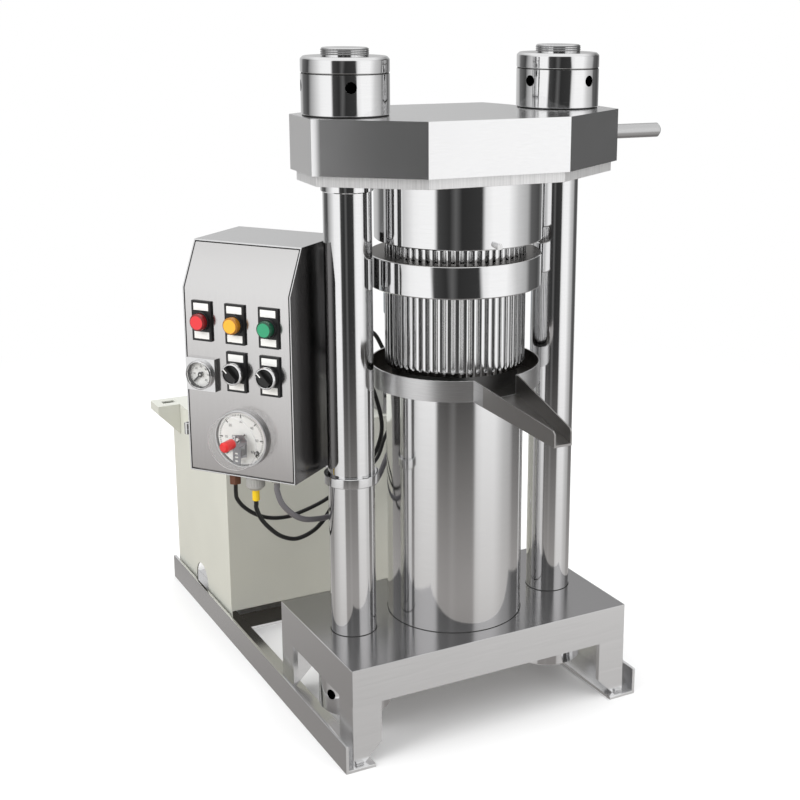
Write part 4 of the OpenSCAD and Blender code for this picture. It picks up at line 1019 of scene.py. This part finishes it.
# %% [markdown]
# The small rings that catch the light are turned profiles: a rounded bezel on the small gauge, a
# chromed collar round each selector, and the ribs round the cable gland's nut. The white line on
# each selector's bar shows where it points, so it rides on the knob and turns with it. A profile
# is a list of (radius, height over the panel).

# %% Rings, pointer lines and ribs
SELECTOR_ROW = 168.0
KNOB_TOP, KNOB_ANGLE = 25.3, 135.0
BLADE_WIDTH, BLADE_FOOT, BLADE_TOP = 2.5, 8.6, 9.2
SKIRT = [(14.7, 4.0), (15.6, 4.0), (15.6, 13.4), (13.9, 13.4), (13.9, 10.4), (14.7, 10.2)]
COLLAR = [
    (13.9, 13.6), (16.6, 13.6), (17.2, 14.4), (17.3, 16.6), (16.9, 17.8), (16.0, 18.7), (14.8, 18.9),
    (14.1, 18.5), (13.9, 17.6)]
BEZEL = [
    (19.9, 12.6), (22.8, 12.6), (22.9, 13.0), (22.7, 13.5), (22.2, 14.1), (21.4, 14.6), (20.7, 14.8),
    (20.1, 14.4)]
# A black ring inside the small gauge's bezel is painted shade.
BEZEL_SHADE = [(19.2, 6.3), (20.4, 6.3), (20.4, 11.6), (19.2, 11.6)]
HUB = [(1.35, 8.8), (4.2, 8.8), (3.9, 9.5), (1.35, 9.5)]
# A bright ring at the edge of the contact gauge's clear cover is a painted highlight.
COVER_EDGE_HIGHLIGHT = [(41.9, 31.05), (42.6, 30.35), (42.3, 30.0), (41.6, 30.7)]
SCREW = [(0.9, 15.6), (3.8, 15.6), (3.6, 17.4), (2.8, 18.2), (1.2, 18.2), (0.9, 17.2)]
SCREW_AT = (CONTACT_AT[0] - 5.2, CONTACT_AT[1] + 4.2)
CLIP = [(2.0, 4.1), (3.9, 4.1), (3.6, 6.6), (2.3, 6.6)]
CLIP_AT = (CONTACT_AT[0] + 27.0, CONTACT_AT[1] - 20.0)


def ribbed_ring(inner, outer, depth, low, high, ribs, steps=288):
    """Outer radius = outer + depth * |sin(ribs * angle / 2)|, the same all the way from low to high."""
    ripple = outer + depth * np.abs(np.sin(ribs * full_turn(steps) / 2))
    inside = inner + 0 * ripple
    radius = np.vstack([inside, ripple - 0.6, ripple, ripple, ripple - 0.6, inside])
    height = np.array([low, low, low + 0.6, high - 0.6, high, high])[:, None]
    return round_axis(radius, height, steps), grid_faces(len(height), steps, closed_rows=True)


for side, across in zip(("left", "right"), DEVICE_COLUMNS[1:]):
    at = (across, SELECTOR_ROW)
    add_piece(f"{side}_selector_collar", on_panel(turned(COLLAR), *at), turned_bright)
    add_piece(f"{side}_selector_skirt", on_panel(turned(SKIRT), *at), black_plastic)
    line = radial_bars([KNOB_ANGLE], 5.0, 12.6, 1.8, KNOB_TOP - 0.3, KNOB_TOP + 0.15)
    add_piece(
        f"{side}_selector_line", on_panel(line, *at), white_plastic, body=f"{side}_selector")
add_piece("oil_gauge_bezel", on_panel(turned(BEZEL), *GAUGE_AT), turned_bright)
add_piece("oil_gauge_bezel_shade", on_panel(turned(BEZEL_SHADE), *GAUGE_AT), black_plastic)
blade = joined([
    radial_bars([SWEEP_START], 1.4, 16.5, BLADE_WIDTH, BLADE_FOOT, BLADE_TOP),
    radial_bars([SWEEP_START + 180.0], 1.4, 6.5, BLADE_WIDTH, BLADE_FOOT, BLADE_TOP), turned(HUB, 32)])
add_piece("oil_gauge_blade", on_panel(blade, *GAUGE_AT), knob_black, body="oil_needle")
add_piece("contact_gauge_rim_highlight", on_panel(turned(COVER_EDGE_HIGHLIGHT, 128), *CONTACT_AT), matt_steel)
add_piece("contact_gauge_screw", on_panel(turned(SCREW, 32), *SCREW_AT), gauge_steel)
add_piece("contact_gauge_clip", on_panel(turned(CLIP, 32), *CLIP_AT), knob_black)
ribs = ribbed_ring(inner=12.0, outer=14.4, depth=0.5, low=-15.0, high=-3.0, ribs=22)
add_piece("gland_ribs", moved(ribs, panel_place(107, 0, -16)), grey_plastic)

# %% [markdown]
# Thin black rings are painted shade: in the gap under each nut, in the groove between a nut and its
# lock ring, and in the seam where a column or the cylinder meets the table. The hinge of the box's
# door shows at its left edge.

# %% Rings of painted shade, and the hinge
CYLINDER_RADIUS = 110.0
HINGE_PLACE = (-5.6, 56.0, -6.0)
HINGE = [
    (2.2, 0.0), (5.2, 0.0), (5.6, 0.5), (5.6, 8.4), (5.0, 9.0), (5.6, 9.6), (5.6, 17.5), (5.2, 18.0),
    (2.2, 18.0)]


def add_dark_ring(name, x, profile):
    """A thin black ring of painted shade round the upright axis that stands at x."""
    add_piece(name, moved(turned(profile, 128), (x, PRESS_Y, 0.0)), black_sheath)


def flat_band(inner, outer, low, high):
    """The four corners of a flat ring's profile."""
    return [(inner, low), (outer, low), (outer, high), (inner, high)]


nut_low, nut_high = piece_box("top_nuts")[:, 2] / MM
for side, x in COLUMNS.items():
    add_dark_ring(f"{side}_nut_gap_shade", x, flat_band(36.0, 63.6, nut_low - 1.7, nut_low - 0.1))
    add_dark_ring(f"{side}_nut_groove_shade", x, flat_band(62.0, 63.7, nut_high - 1.7, nut_high - 0.3))
block_top = piece_box("base_block")[1][2] / MM
column_radius = np.ptp(piece_box("left_column"), axis=0)[0] / 2 / MM
seam_shade = np.array([(0.05, 0.05), (1.0, 0.05), (0.05, 1.0)])
for name, x, radius in (
        ("left_foot", -COLUMN_X, column_radius), ("right_foot", COLUMN_X, column_radius),
        ("cylinder_foot", 0.0, CYLINDER_RADIUS)):
    add_dark_ring(f"{name}_seam", x, seam_shade + (radius, block_top))
add_piece("door_hinge", moved(turned(HINGE, 32), panel_place(*HINGE_PLACE)), turned_bright)
